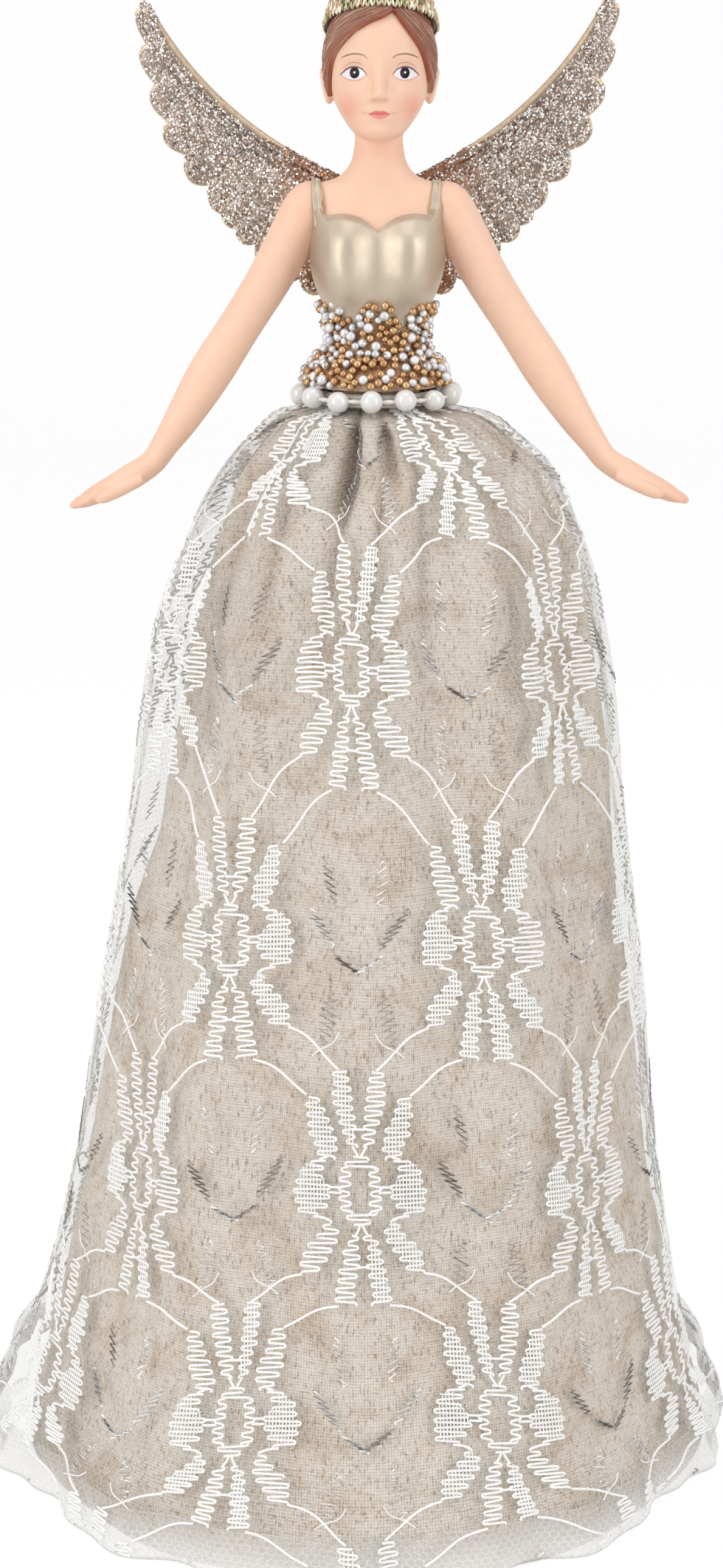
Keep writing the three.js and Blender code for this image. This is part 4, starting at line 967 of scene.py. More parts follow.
# Half of the strap's cross section, as shares of its width and height over the skin
STRAP_EDGE = [(-0.94, -1.2), (-1.0, 0.2), (-0.82, 0.5), (-0.4, 0.28)]
STRAP_PROFILE = STRAP_EDGE + [(-x, z) for x, z in STRAP_EDGE[::-1]]
STRAP_MIDDLE = np.array([0, 0.3, TORSO_FOOT + 31.5])
STRAP_REACH = 13
NO_SKIN = 1000.0


def bodice_finish():
    finish = Finish("champagne_paint", (203, 188, 162), 0.4, Metallic=0.6)
    where = finish.place()
    finish.colour(finish.noise(where, 90, 4), [(0.35, (188, 172, 152)), (0.65, (201, 187, 168))])
    finish.gloss(where, 500, 4, 0.4, 0.48)
    finish.bump(finish.noise(where, 1300, 3), 0.035, 0.4)
    return finish.material


def make_strap(name, side, skins, material):
    """A strap laid over the skin and the bodice, along the nearest surface that rays from outside meet."""
    path = []
    for a in np.radians(np.linspace(9, 171, 96)):
        out = np.array([0, -math.cos(a), math.sin(a)])
        x = side * (11.25 + 0.45 * hill(a - 1.5, 0.8) - 0.5 * hill(a, 0.4))
        reach = NO_SKIN
        for aside in (-0.8, 0, 0.8):
            far = Vector(STRAP_MIDDLE + out * STRAP_REACH + np.array([x + aside, 0, 0]))
            hits = (tree.ray_cast(far, Vector(-out))[3] for tree in skins)
            reach = min([reach] + [hit for hit in hits if hit is not None])
        path.append(STRAP_MIDDLE + out * (STRAP_REACH - reach) + np.array([x, 0, 0]))
    path = np.array(path)
    for _ in range(10):
        path[1:-1] = (path[:-2] + 2 * path[1:-1] + path[2:]) / 4
    along = unit(np.gradient(path, axis=0))
    across = unit(np.array([1.0, 0, 0]) - along * along[:, :1])
    outward = np.cross(across, along)
    outward *= np.sign((outward * (path - STRAP_MIDDLE)).sum(1, keepdims=True))
    ends = np.linspace(0, 1, len(path))
    ends = np.minimum(ends, 1 - ends)
    wide = (0.86 + 0.2 * hill(ends, 0.12))[:, None]
    path = path - outward * (1.9 * smoothstep(0.13, 0.0, ends))[:, None]
    rings = np.stack([path + across * x * wide + outward * z for x, z in STRAP_PROFILE], 1)
    make_piece("strap_" + name, closed_rings(rings), material, "champagne_paint")


def make_bodice():
    material = bodice_finish()
    degrees = np.linspace(-180, 180, 420, endpoint=False)
    top = np.interp(np.abs(degrees), *zip(*BODICE_EDGE))
    rise = np.concatenate([np.linspace(0, 0.985, 90), [0.992, 0.998, 1, 1, 1]])[:, None]
    low = TORSO_FOOT + 0.8
    share = (low + (top[None, :] - low) * rise - TORSO_FOOT) / TORSO_HEIGHT
    thick = np.full(len(rise), 0.92)
    thick[-5:] = (0.9, 0.84, 0.7, 0.35, -0.3)
    points = offset(torso, share, np.radians(degrees)[None, :] + 0 * share, thick[:, None] + 0 * share)
    out = np.abs(points[..., 0])
    level = np.exp(-((points[..., 2] - TORSO_FOOT - 24.5) / 9) ** 4)
    cups = 2.9 * smoothstep(0, 12.5, out) * smoothstep(14.5, 9, out) * level
    cups += 1.8 * hill(out - 5.6, 3.6) * (level - hill(points[..., 2] - TORSO_FOOT - 25.2, 4.7)).clip(0)
    points[..., 1] -= np.where(points[..., 1] < 0, cups * smoothstep(1, 0.96, rise), 0)
    shell = as_grid(leaned(points), True)
    shell = make_piece("bodice_metallic", shell, material, "champagne_paint", "bodice_shell")
    skins = [bust_surface] + [surface_of(piece) for piece in [shell] + arms]
    for side, name in ((-1, "right"), (1, "left")):
        make_strap(name, side, skins, material)


# Wings: domed feathers under a smooth leading edge, thick with glitter

# Each feather: its place along the leading edge, its tip out and up, and its width
FEATHER_SHARES = [
    (0.6, 1.005, 0.96, 0.45), (0.54, 0.978, 0.76, 0.7), (0.48, 0.923, 0.545, 0.95), (0.42, 0.877, 0.32, 1),
    (0.36, 0.781, 0.08, 1), (0.3, 0.652, -0.135, 0.9), (0.25, 0.582, -0.235, 0.8), (0.2, 0.507, -0.335, 0.8),
    (0.15, 0.406, -0.455, 0.8), (0.1, 0.29, -0.555, 0.85), (0.05, 0.16, -0.63, 0.9),
]
FEATHER_WIDTH = 9.7
WING_ROOT = (7.0, TORSO_FOOT + 38.5)
WING_SPAN = 41.0
WING_RISE = 34.5
WING_BACK = 9.32
WING_SWEEP = 0.2493
WING_PIVOT = (WING_ROOT[0], 0, WING_ROOT[1] - 10)
WING_DARK = (140, 126, 114)
WING_ROOT_TONE = (150, 104, 76)
WING_RIM = (206, 182, 148)
WING_STRIP = (206, 182, 154)
WING_TIP = (238, 222, 212)
WING_COPPER = (172, 118, 84)
FLAKE_TONES = [(246, 242, 238), (226, 210, 192), (104, 94, 84), (176, 140, 122)]
FLAKE_PARTS = (0.46, 0.24, 0.19, 0.11)
TONGUE_CORNERS = np.array([(-1.15, -4.95), (1.15, -4.95), (1.15, 4.95), (-1.15, 4.95)])


def wing_place(out, up):
    return np.array([WING_ROOT[0] + out * WING_SPAN, WING_ROOT[1] + up * WING_RISE])


def wing_points(flat, depth):
    """Places drawn on the wing at a depth, swept back a little towards the tips."""
    out = flat[..., 0]
    back = depth + WING_BACK + WING_SWEEP * np.maximum(out - WING_ROOT[0], 0)
    return xyz(out, back, flat[..., 1])


def bezier(a, b, c, share):
    share = np.asarray(share)[..., None]
    return a * (1 - share) ** 2 + 2 * b * share * (1 - share) + c * share**2


def leading_edge(share):
    return bezier(wing_place(0, 0), wing_place(0.66, 0.32), wing_place(0.98, 1.0), share)


def near_body(points):
    return smoothstep(25, 12, points[..., :1])


def wing_finish():
    finish = Finish("wing_gold", (190, 160, 130), 0.36, Metallic=0.6)
    grit = finish.noise(finish.place(), 1100, 5, 0.7)
    finish.colour(grit, [(0.3, (0.7, 0.66, 0.62, 1)), (0.6, 1)], finish.painted())
    finish.bump(grit, 0.12, 0.6)
    return finish.material


def flake_finish():
    finish = Finish("glitter_flakes", (214, 204, 196), 0.24, Metallic=0.5)
    finish.set(Base_Color=finish.painted())
    finish.gloss(finish.place(), 2000, 2, 0.16, 0.34)
    return finish.material


def wing_mesh(rings, shine, rim):
    """A closed part of the wing and its colours, dark to brown with a rim where it shines."""
    dark, brown = paints(WING_DARK, WING_ROOT_TONE)
    shine = np.broadcast_to(shine, rings.shape[:2])[..., None]
    near = 0.8 * near_body(rings)
    tone = (dark * (1 - near) + brown * near) * (1 - shine) + paints(rim) * shine
    return closed_rings(rings), np.concatenate([tone[:1], tone, tone[-1:]]).reshape(-1, 3)


def wing_feathers():
    """The feathers, and the sheets of their two faces with the way out and the flakes on each mm2."""
    parts, spots = [], []
    lane = np.linspace(-1, 1, 25)
    rim_mask = smoothstep(0.88, 0.95, np.abs(lane))
    share = np.sin(np.linspace(0, 1, 40) * math.pi / 2)
    for row, (along, out, up, width_share) in enumerate(FEATHER_SHARES):
        width = FEATHER_WIDTH * width_share
        slope = unit(leading_edge(along + 0.01) - leading_edge(along - 0.01))
        start = leading_edge(along) + np.array([slope[1], -slope[0]]) * (width / 2 - 1.15)
        tip = wing_place(out, up)
        across = tip - start
        sag = (start + tip) / 2 - np.array([-across[1], across[0]]) * 0.12
        spine = bezier(start, sag, tip, share)
        tangent = unit(np.gradient(spine, axis=0))
        normal = np.stack([-tangent[:, 1], tangent[:, 0]], -1)
        half = width / 2 * np.sqrt(np.clip(1 - share**6, 0, 1)) * (0.7 + 0.3 * share)
        flat = spine[:, None] + normal[:, None] * (half[:, None] * lane[None])[..., None]
        near = (len(FEATHER_SHARES) - row) * 0.2
        dome = 0.55 * (1 - lane**2) ** 0.6 + 0.16 * hill(np.abs(lane) - 0.88, 0.1)
        dome = dome[None] * np.sqrt(np.clip(1 - share**10, 0, 1))[:, None]
        before, behind = wing_points(flat, near + 0.5 - dome), wing_points(flat, near + 1.2 + 0.5 * dome)
        shine = np.maximum(rim_mask[None], smoothstep(0.955, 0.98, share)[:, None])
        rings = np.concatenate([before, behind[:, ::-1]], 1)
        parts.append(wing_mesh(rings, np.concatenate([shine, shine[:, ::-1]], 1), WING_RIM))
        cover = 1 - 0.82 * shine[:-1, :-1]
        spots.append((before, np.array([0, -1.0, 0]), 6.2 * cover))
        spots.append((behind, np.array([0, 1.0, 0]), 5.0 * cover))
    return parts, spots


def wing_bars():
    """The leading edge and the two bars under it, with the same sheets for their flakes."""
    parts, spots = [], []
    steps = np.linspace(0, 1, 60)
    taper = round_end(steps, 0.97, 0.032, 0.02)
    inner = leading_edge(steps * 0.93 + 0.03)
    slope = unit(np.gradient(inner, axis=0))
    below = np.stack([slope[:, 1], -slope[:, 0]], -1)
    bars = (
        (leading_edge(steps), 1.45, 1.15 * taper, 1.0),
        (inner + below * (1.65 - 0.4 * steps[:, None]), 1.2, 0.85 * taper, 0.0),
        (inner + below * (2.6 - 0.9 * steps[:, None]), 1.3, 0.8 * taper, 0.0),
    )
    span = (smoothstep(0.22, 0.36, steps) * smoothstep(0.92, 0.78, steps))[:, None]
    for line, depth, radius, strip in bars:
        path = wing_points(line, depth)
        rings = bar_rings(path, radius, 24)
        facing = unit(rings - path[:, None])
        above = facing[..., 2] * slope[:, :1] - facing[..., 0] * slope[:, 1:]
        shine = strip * smoothstep(0.0, 0.2, above + 0.5 * (span - 1)) * (span > 0.02)
        parts.append(wing_mesh(rings, shine, WING_STRIP))
        grid = np.concatenate([rings, rings[:, :1]], 1)
        guide = np.concatenate([facing, facing[:, :1]], 1)[:-1, :-1]
        spots.append((grid, guide, 7.0 * (1 - shine[:-1])))
    return parts, spots


def scattered(spots):
    """Random places on the sheets, a little off them, with the way out at each."""
    centres, normals = [], []
    for sheet, guide, density in spots:
        a = sheet[:-1, :-1]
        du = sheet[1:, :-1] - a
        dv = sheet[:-1, 1:] - a
        normal = np.cross(du, dv)
        area = np.linalg.norm(normal, axis=-1)
        normal = unit(normal)
        normal = normal * np.sign((normal * guide).sum(-1, keepdims=True))
        count = chance.poisson(area * density * (1 - 0.25 * near_body(a)[..., 0]))
        rows, columns = np.nonzero(count)
        number = count[rows, columns]
        rows, columns = np.repeat(rows, number), np.repeat(columns, number)
        jitter = chance.random((len(rows), 2, 1))
        spot = a[rows, columns] + du[rows, columns] * jitter[:, 0] + dv[rows, columns] * jitter[:, 1]
        centres.append(spot + normal[rows, columns] * 0.07)
        normals.append(normal[rows, columns])
    return np.concatenate(centres), np.concatenate(normals)


def glitter(spots):
    """Small tilted plates over both faces of a wing, and their colours."""
    centres, normals = scattered(spots)
    tilted = unit(normals + chance.normal(0, 0.36, normals.shape))
    axis = unit(np.cross(tilted, chance.normal(0, 1, normals.shape)))
    other = np.cross(tilted, axis)
    size = chance.uniform(0.16, 0.31, (len(centres), 1))
    corners = [centres + (axis * math.cos(a) + other * math.sin(a)) * size for a in (0, 1.57, 3.14, 4.71)]
    picked = chance.choice(4, len(centres), p=FLAKE_PARTS)
    copper = paints(WING_COPPER) * (0.5 + 1.0 * chance.random((len(centres), 1)))
    share = near_body(centres) * (picked > 0)[:, None]
    colours = paints(*FLAKE_TONES)[picked] * (1 - share) + copper * share
    share = 0.5 * smoothstep(270, 290, centres[:, 2:])
    colours = colours * (1 - share) + paints(WING_TIP) * share
    return np.stack(corners, 1), np.repeat(colours, 4, 0)


def make_wing(side, gold, flakes):
    name = "wing_left" if side > 0 else "wing_right"

    def posed(points):
        points = turned_about(points, WING_PIVOT, 1.6 if side > 0 else 0.0)
        points[..., 0] *= side
        return leaned(points)

    feathers, feather_spots = wing_feathers()
    bars, bar_spots = wing_bars()
    points, faces = stack_meshes([part for part, _ in feathers + bars])
    paint = np.concatenate([colours for _, colours in feathers + bars])
    make_piece(name + "_feathers", (posed(points), faces), gold, "wing_glitter", name, paint=paint)
    # The tongue that sits in the slot of the back
    height = TORSO_FOOT + 28.5 + TONGUE_CORNERS[:, 1]
    depths = np.linspace(WING_BACK - 4.9, WING_BACK + 2.2, 6)
    out = side * (WING_ROOT[0] + TONGUE_CORNERS[:, 0])
    points, faces = closed_rings(np.stack([xyz(out, y, height) for y in depths]))
    paint = np.repeat(paints(WING_DARK), len(points), 0)
    make_piece(name + "_tongue", (leaned(points), faces), gold, "wing_glitter", smooth=False, paint=paint)
    points, paint = glitter(feather_spots + bar_spots)
    faces = np.arange(points.size // 3).reshape(-1, 4)
    plates = posed(points).reshape(-1, 3), faces
    make_piece(name + "_glitter", plates, flakes, "wing_glitter", smooth=False, paint=paint)


# Waist: loose beads crowded on a sleeve, in gold and silver

BEAD_TRIES = 14000
BAND_FOOT = 0.9
COPPER_LOOPS = 80


def bead_finish(name, colour, deep, metallic, roughness):
    finish = Finish(name, colour, roughness, Metallic=metallic, Coat_Weight=0.5, Coat_Roughness=0.12)
    where = finish.place()
    finish.colour(finish.noise(where, 420, 3), [(0.35, deep), (0.6, colour)])
    finish.gloss(where, 900, 2, roughness - 0.06, roughness + 0.08)
    return finish.material


def copper_finish():
    # Copper thread colour, kept dark as painted shade where the sleeve shows between the beads
    return plain_finish(
        "copper_thread", (130, 84, 50), 0.45,
        lambda finish: finish.cells(finish.place(), 1500, "DISTANCE_TO_EDGE"),
        [(0.02, (206, 160, 118)), (0.12, (150, 112, 84))], (0.15, 0.8), Metallic=0.4,
    )


def band_top(angle):
    """The upper edge of the beads: a peak in front and a dip either side of it."""
    out = np.abs(angle)
    return 17.0 - 0.7 * smoothstep(0.7, 1.2, out) - 4.6 * hill(out - 0.47, 0.2)


def make_beads():
    angle = chance.uniform(-math.pi, math.pi, BEAD_TRIES)
    height = chance.uniform(0.8, 18.4, BEAD_TRIES)
    gold_share = 0.48 + 0.1 * np.sin(3 * angle + 1.3) + 0.1 * np.sin(height * 0.8 + 2 * angle)
    is_gold = chance.random(BEAD_TRIES) < gold_share
    small, large = chance.uniform(0.66, 0.9, BEAD_TRIES), chance.uniform(0.74, 1.04, BEAD_TRIES)
    radius = np.where(is_gold, small, large)
    spots = offset(torso, height / TORSO_HEIGHT, angle, 0.95 + radius * chance.uniform(0.5, 1.5, BEAD_TRIES))
    kept = []
    for i in np.flatnonzero(height < band_top(angle) + 0.3):
        gap = np.linalg.norm(spots[kept] - spots[i], axis=1) - (radius[kept] + radius[i]) * 0.84
        if not kept or gap.min() > 0:
            kept.append(i)
    kept = np.array(kept)
    gold = bead_finish("gold_beads", (210, 170, 124), (176, 130, 88), 0.7, 0.24)
    silver = bead_finish("silver_beads", (240, 240, 240), (208, 208, 212), 0.4, 0.22)
    for chosen, name, material in ((is_gold, "beads_gold", gold), (~is_gold, "beads_silver", silver)):
        parts = []
        for i in kept[chosen[kept]]:
            tall = radius[i] * chance.uniform(0.88, 1.0)
            parts.append(ball(spots[i], (radius[i], radius[i], tall), 8, 12))
        make_piece(name, leaned_mesh(*stack_meshes(parts)), material, "beads", "waist_bead_band")
    # The sleeve that carries them, its dark copper also painted shade in the gaps between beads, and stray
    # loops of copper thread
    copper = copper_finish()
    angle = np.linspace(-math.pi, math.pi, 240, endpoint=False)[None, :]
    rise = np.concatenate([np.linspace(0, 1, 26), [1.0]])[:, None]
    height = BAND_FOOT + (band_top(angle) - 1.6 - BAND_FOOT) * rise
    lift = np.full_like(height, 1.05)
    lift[-1] = 0.5
    sleeve = offset(torso, height / TORSO_HEIGHT, angle + 0 * height, lift)
    make_piece("bead_sleeve", as_grid(leaned(sleeve), True), copper, "beads")
    steps = np.linspace(0, 1, 14)
    loops = []
    for _ in range(COPPER_LOOPS):
        a, h = chance.uniform(-math.pi, math.pi), chance.uniform(1.5, 14)
        bend, reach = chance.uniform(-2, 2), chance.uniform(0.05, 0.12)
        heights = (h + bend * steps).clip(1, 15.5) / TORSO_HEIGHT
        path = offset(torso, heights, a + reach * steps, 1.9 + 1.0 * np.sin(steps * math.pi))
        loops.append(tube(path, 0.1, 5))
    make_piece("copper_loops", leaned_mesh(*stack_meshes(loops)), copper, "beads")


PEARLS = 14
PEARL_RADIUS = 2.2
PEARL_RING = 15
PEARL_HEIGHT = NECK_TOP - 1.3
PEARL_PHASE = math.radians(-3.6)


def pearl_finish():
    finish = Finish("pearl_white", (228, 228, 226), 0.24, Coat_Weight=0.8, Coat_Roughness=0.06)
    where = finish.place()
    finish.colour(finish.noise(where, 260, 3), [(0.35, (222, 219, 213)), (0.65, (231, 231, 230))])
    finish.gloss(where, 700, 2, 0.13, 0.2)
    finish.bump(finish.noise(where, 500, 3), 0.006, 0.3)
    return finish.material


def thread_finish():
    return plain_finish(
        "pearl_thread", (238, 236, 230), 0.6, lambda finish: finish.wave(finish.place(), 700, Distortion=3),
        [(0.2, (214, 210, 202)), (0.7, (245, 243, 238))], (0.08, 0.7),
    )


def make_pearls():
    parts = []
    for i in range(PEARLS):
        angle = PEARL_PHASE + TURN * i / PEARLS
        centre = round_axis(PEARL_RING, angle, PEARL_HEIGHT + 0.25 * math.sin(i * 2.3))
        parts.append(ball(centre, (PEARL_RADIUS, PEARL_RADIUS, 2.12 + 0.08 * math.cos(i * 1.7)), 22, 32))
    make_piece("pearls", leaned_mesh(*stack_meshes(parts)), pearl_finish(), "pearls", "pearl_belt")
    angle = full_turn(280)
    knot = hill((angle - PEARL_PHASE) % (TURN / PEARLS) - TURN / PEARLS / 2, 0.03)
    thick = (0.3 + 0.18 * knot)[:, None]
    ring = full_turn(10)
    out, up = thick * np.cos(ring), thick * np.sin(ring)
    string = round_axis(PEARL_RING + out, angle[:, None], PEARL_HEIGHT + up)
    string = np.concatenate([string, string[:1]])
    make_piece("pearl_string", leaned_mesh(*as_grid(string, True)), thread_finish(), "pearls")


# Skirts

# Height of the skirt, its mean radius, the depth of its folds and how far the net stands off
SKIRT_SHARES = [
    (0, 0.99, 0.3, 1), (0.04, 0.968, 0.3, 0.9), (0.073, 0.926, 0.3, 0.5), (0.135, 0.873, 0.35, 0.3),
    (0.28, 0.766, 0.42, 0.3), (0.445, 0.68, 0.5, 0.36), (0.62, 0.563, 0.6, 0.55), (0.76, 0.48, 0.75, 0.78),
    (0.86, 0.395, 0.95, 0.72), (0.925, 0.298, 1, 0.5), (0.9625, 0.183, 0.8, 0.36), (0.978, 0.125, 0.5, 0.2),
    (0.985, 0.03, 0.2, 0.08), (0.988, 0, 0.12, 0), (1, 0, 0.12, 0),
]
# How the cloth is spread round the skirt: height, crowding towards the back, turn in degrees
CLOTH_SPREAD = [
    (0, -0.01, 2.0), (31, -0.01, 1.7), (76, 0.08, -1.4), (124, 0.23, -3.7), (173, 0.31, -7), (205, 0.55, -9),
    (222, 0.55, -10),
]
CLOTH_WIDTH = 376.0
NET_TURN_UP = 9.0
NET_PITCH = 1.35
FOLD_DEPTH = 2.4
# The velvet laid flat: width and length
VELVET_FLAT = (461.0, 235.0)
# How far the skirt hangs to one side, by height
SKIRT_SWAY = list(zip(
    (0, -4.2), (16, -4.2), (60, -2.2), (110, -0.6), (150, 0.3), (176, 0.5), (187, 1.2), (196, 1.7),
    (206, 2.6), (214, 1.6), (219, 0), (222, 0),
))
# The velvet stays nearer to the middle than the net's hem
LEAST_SWAY = -2.2
# Deep gathers under the belt: angle, width, depth and the heights they run between
GATHER_GAPS = [(-0.31, 0.065, 6.0, 196, 207), (0.03, 0.05, 4.5, 203, 210)]


def skirt_height(share):
    return HEM + share * (GATHER_TOP - HEM)


def velvet_sway(height):
    return np.maximum(np.interp(height, *SKIRT_SWAY), LEAST_SWAY)


def fold_wave(angle, share):
    sway = np.sin(3 * angle) * 0.35 + np.sin(2 * angle + 1) * 0.2
    folds = np.cos(10 * angle + sway * (1 - share))
    return 0.85 * folds + 0.15 * np.cos(3 * angle + 2)


def pucker(angle, share):
    """Gathers that run down from the neck and fade, deepest near the waist."""
    window = smoothstep(0.66, 0.9, share) * smoothstep(0.992, 0.95, share)
    lines = np.abs(np.sin(8.5 * angle + 0.9 * np.sin(3 * angle + 0.6) + 0.5 * np.sin(5 * angle)))
    return window * (1 - lines) ** 2 * (0.75 + 0.4 * ripple(angle, 5, 8))


def crumple(angle, share):
    """Soft unevenness of the pile cloth."""
    value = 0
    for k, (count, rise, size) in enumerate(((7, 9, 0.5), (13, 15, 0.3), (23, 28, 0.16), (37, 46, 0.09))):
        across = np.sin(count * angle + 1.7 * k + 2.2 * np.sin(rise * 0.4 * share * math.pi + k))
        value = value + size * across * np.sin(rise * share * math.pi + 2 * np.cos((3 + k) * angle + k))
    return value * smoothstep(0.0, 0.06, share) * smoothstep(1.0, 0.93, share)


def gather_gap(angle, share):
    height = skirt_height(share)
    angle = (angle + math.pi) % TURN - math.pi
    depth = 0
    for at, width, deep, foot, top in GATHER_GAPS:
        window = smoothstep(foot, top, height) * smoothstep(219, 214, height)
        depth = depth + deep * hill(angle - at, width) * window
    return depth


def side_slack(angle, height):
    """How far the velvet falls in under the net at one side, and how far it fills it at the other."""
    side = np.sin(angle)
    apart = 3.0 * smoothstep(112, 135, height) * smoothstep(208, 190, height)
    full = 1.4 * smoothstep(218, 211, height) + 1.2 * smoothstep(210, 188, height)
    full = full * smoothstep(112, 160, height)
    return np.where(side < 0, apart, -full) * side**4


def skirt_base(share, angle):
    """The radius that both cloths share, with the depth of the folds and the stand-off of the net."""
    _, mean, folds, stand = np.moveaxis(table(SKIRT_SHARES, share), -1, 0)
    mean = VELVET_NECK + mean * (VELVET_HEM - VELVET_NECK)
    return mean + folds * FOLD_DEPTH * fold_wave(angle, share), folds, stand


def velvet_surface(share, angle):
    height = skirt_height(share)
    radius, _, _ = skirt_base(share, angle)
    radius = radius - 3.0 * pucker(angle, share) + 0.55 * crumple(angle, share) - gather_gap(angle, share)
    return round_axis(radius - side_slack(angle, height), angle, height, velvet_sway(height))


def net_surface(share, angle, lift=0.0):
    height = skirt_height(share)
    radius, folds, stand = skirt_base(share, angle)
    stand = stand * (1 - 0.3 * hill(share - 0.9, 0.06))
    bulge = 1.4 * folds * (1 + np.cos(5 * angle + 2)) / 2
    side = 0.35 + 0.65 * np.abs(np.sin(angle)) ** 1.5
    radius = radius + 0.8 + stand * 5.6 * side + bulge * np.minimum(stand * 3, 1)
    pleats = np.cos(31 * angle + 2.2 * np.sin(2 * angle) + 1.5 * share)
    pleats = pleats * (0.2 + 0.8 * np.abs(np.sin(angle)) ** 3)
    radius = radius + 0.55 * pleats * smoothstep(0.3, 0.8, share) * smoothstep(1.0, 0.96, share)
    flutes = 1.3 * np.cos(17 * angle + 1.3 * np.sin(4 * angle)) + 0.7 * np.cos(31 * angle + np.sin(6 * angle))
    radius = radius + smoothstep(0.11, 0.0, share) * flutes
    radius = radius - 1.4 * pucker(angle, share) - gather_gap(angle, share)
    radius = radius - 1.1 * smoothstep(0.018, 0.0, share) + lift
    raised = 0.5 * (1 + np.cos(13 * angle + 1.7 * np.sin(3 * angle))) * smoothstep(0.06, 0.0, share)
    return round_axis(radius, angle, height + raised, np.interp(height, *SKIRT_SWAY))


# How far up the flat net each share of the height is, down the front
LENGTH_SHARES = np.linspace(0, 1, 800)
_steps = np.diff(net_surface(LENGTH_SHARES, np.zeros(800)), axis=0)
LENGTHS = np.concatenate([[0], np.cumsum(np.linalg.norm(_steps, axis=1))])
NET_LENGTH = LENGTHS[-1]


def cloth_angle(across, share):
    """The angle round the skirt of a place across the flat cloth."""
    height = skirt_height(share)
    keys, crowd, turn = zip(*CLOTH_SPREAD)
    base = across / CLOTH_WIDTH * TURN
    return base + np.interp(height, keys, crowd) * np.sin(base) + np.radians(np.interp(height, keys, turn))


def on_skirt(across, up):
    """Share of height and angle for a place on the flat net, across and up from the hem."""
    aside = np.abs(across) / CLOTH_WIDTH * TURN
    droop = 4.0 + 4.5 * smoothstep(150, 60, up)
    droop = droop * smoothstep(0, 1.05, aside) * smoothstep(0, 30, up)
    droop = droop * smoothstep(NET_LENGTH, NET_LENGTH - 40, up)
    share = np.interp(up - droop, LENGTHS, LENGTH_SHARES)
    return share, cloth_angle(across, share)


def cloth_frame(across, up):
    """Where a place on the flat net comes to lie, and the way out of the cloth there."""
    share, angle = on_skirt(across, up)
    point = net_surface(share, angle)
    right = net_surface(share, angle + 0.01) - point
    above, below = np.minimum(share + 0.003, 1), np.maximum(share - 0.003, 0)
    upward = net_surface(above, angle) - net_surface(below, angle)
    return point, unit(np.cross(right, upward))


def velvet_finish():
    finish = Finish("crushed_velvet", (240, 230, 218), 0.85, Specular_IOR_Level=0.15)
    where = finish.place()
    tone = finish.ramp(finish.noise(where, 90, 5, 0.62, 0.6), [
        (0.3, (220, 201, 180)), (0.4, (238, 226, 211)), (0.5, (249, 243, 235)), (0.68, (254, 251, 247)),
    ])
    # Painted shade of the crushed pile: brownish patches at random over the cloth
    crushed_pile_shade = finish.span(finish.noise(where, 320, 3, 0.6), 0.66, 0.74)
    tone = finish.mix(finish.times(crushed_pile_shade, 0.6), tone, rgb(164, 116, 76))
    flat = finish.flat()
    pile = finish.noise(finish.place((1, 1, 0.2)), 1900, 4, 0.68)
    lying = finish.noise(finish.place((0.3, 1.5, 1), flat), 1.0, 3, 0.6)
    bends = {"Distortion": 2.5, "Detail": 2, "Detail Scale": 1.5}
    weave = finish.times(*(finish.wave(flat, 0.314 / 0.62, way, **bends) for way in ("X", "Y")))
    layers = (
        finish.painted(),
        finish.ramp(pile, [(0.36, (0.5, 0.39, 0.3, 1)), (0.44, (0.95, 0.93, 0.91, 1)), (0.7, 1.05)]),
        finish.ramp(lying, [(0.34, (0.74, 0.66, 0.58, 1)), (0.43, 1)]),
        finish.ramp(weave, [(0.0, (0.68, 0.6, 0.52, 1)), (0.25, 1)]),
    )
    for layer in layers:
        tone = finish.mix(1.0, tone, layer, "MULTIPLY")
    finish.set(Base_Color=tone)
    finish.bump(finish.math("ADD", pile, finish.times(weave, 0.6)), 0.3, 0.6)
    finish.set(Sheen_Weight=0.35, Sheen_Roughness=0.4, Sheen_Tint=rgb(250, 240, 228))
    return finish.material


def make_velvet():
    share = np.concatenate([np.linspace(0, 0.9, 130), np.linspace(0.905, 1, 60)])[:, None]
    angle = np.linspace(0, TURN, 461)[None, :]
    outer = velvet_surface(share + 0 * angle, angle + 0 * share)
    centre = xyz(velvet_sway(skirt_height(share)), 0, outer[..., 2])
    radius = np.linalg.norm(outer - centre, axis=-1, keepdims=True)
    inward = (centre + (outer - centre) * (radius - 0.75) / radius)[::4][::-1]
    rise = np.concatenate([share, share[::4][::-1], share[:1]])
    uv = np.stack(np.broadcast_arrays(angle / TURN * VELVET_FLAT[0], rise * VELVET_FLAT[1]), -1)
    # Painted shade: the pile is painted brown down in the gathers, where shade falls
    gather_shade = 0.8 * np.clip(0.8 * pucker(angle, rise) + gather_gap(angle, rise) / 3, 0, 1).reshape(-1, 1)
    paint = 1 - gather_shade * np.array([0.55, 0.68, 0.8])
    cloth = as_grid(np.concatenate([outer, inward, outer[:1]]))
    return make_piece("velvet_cloth", cloth, velvet_finish(), "velvet", "velvet_skirt", paint=paint, uv=uv)


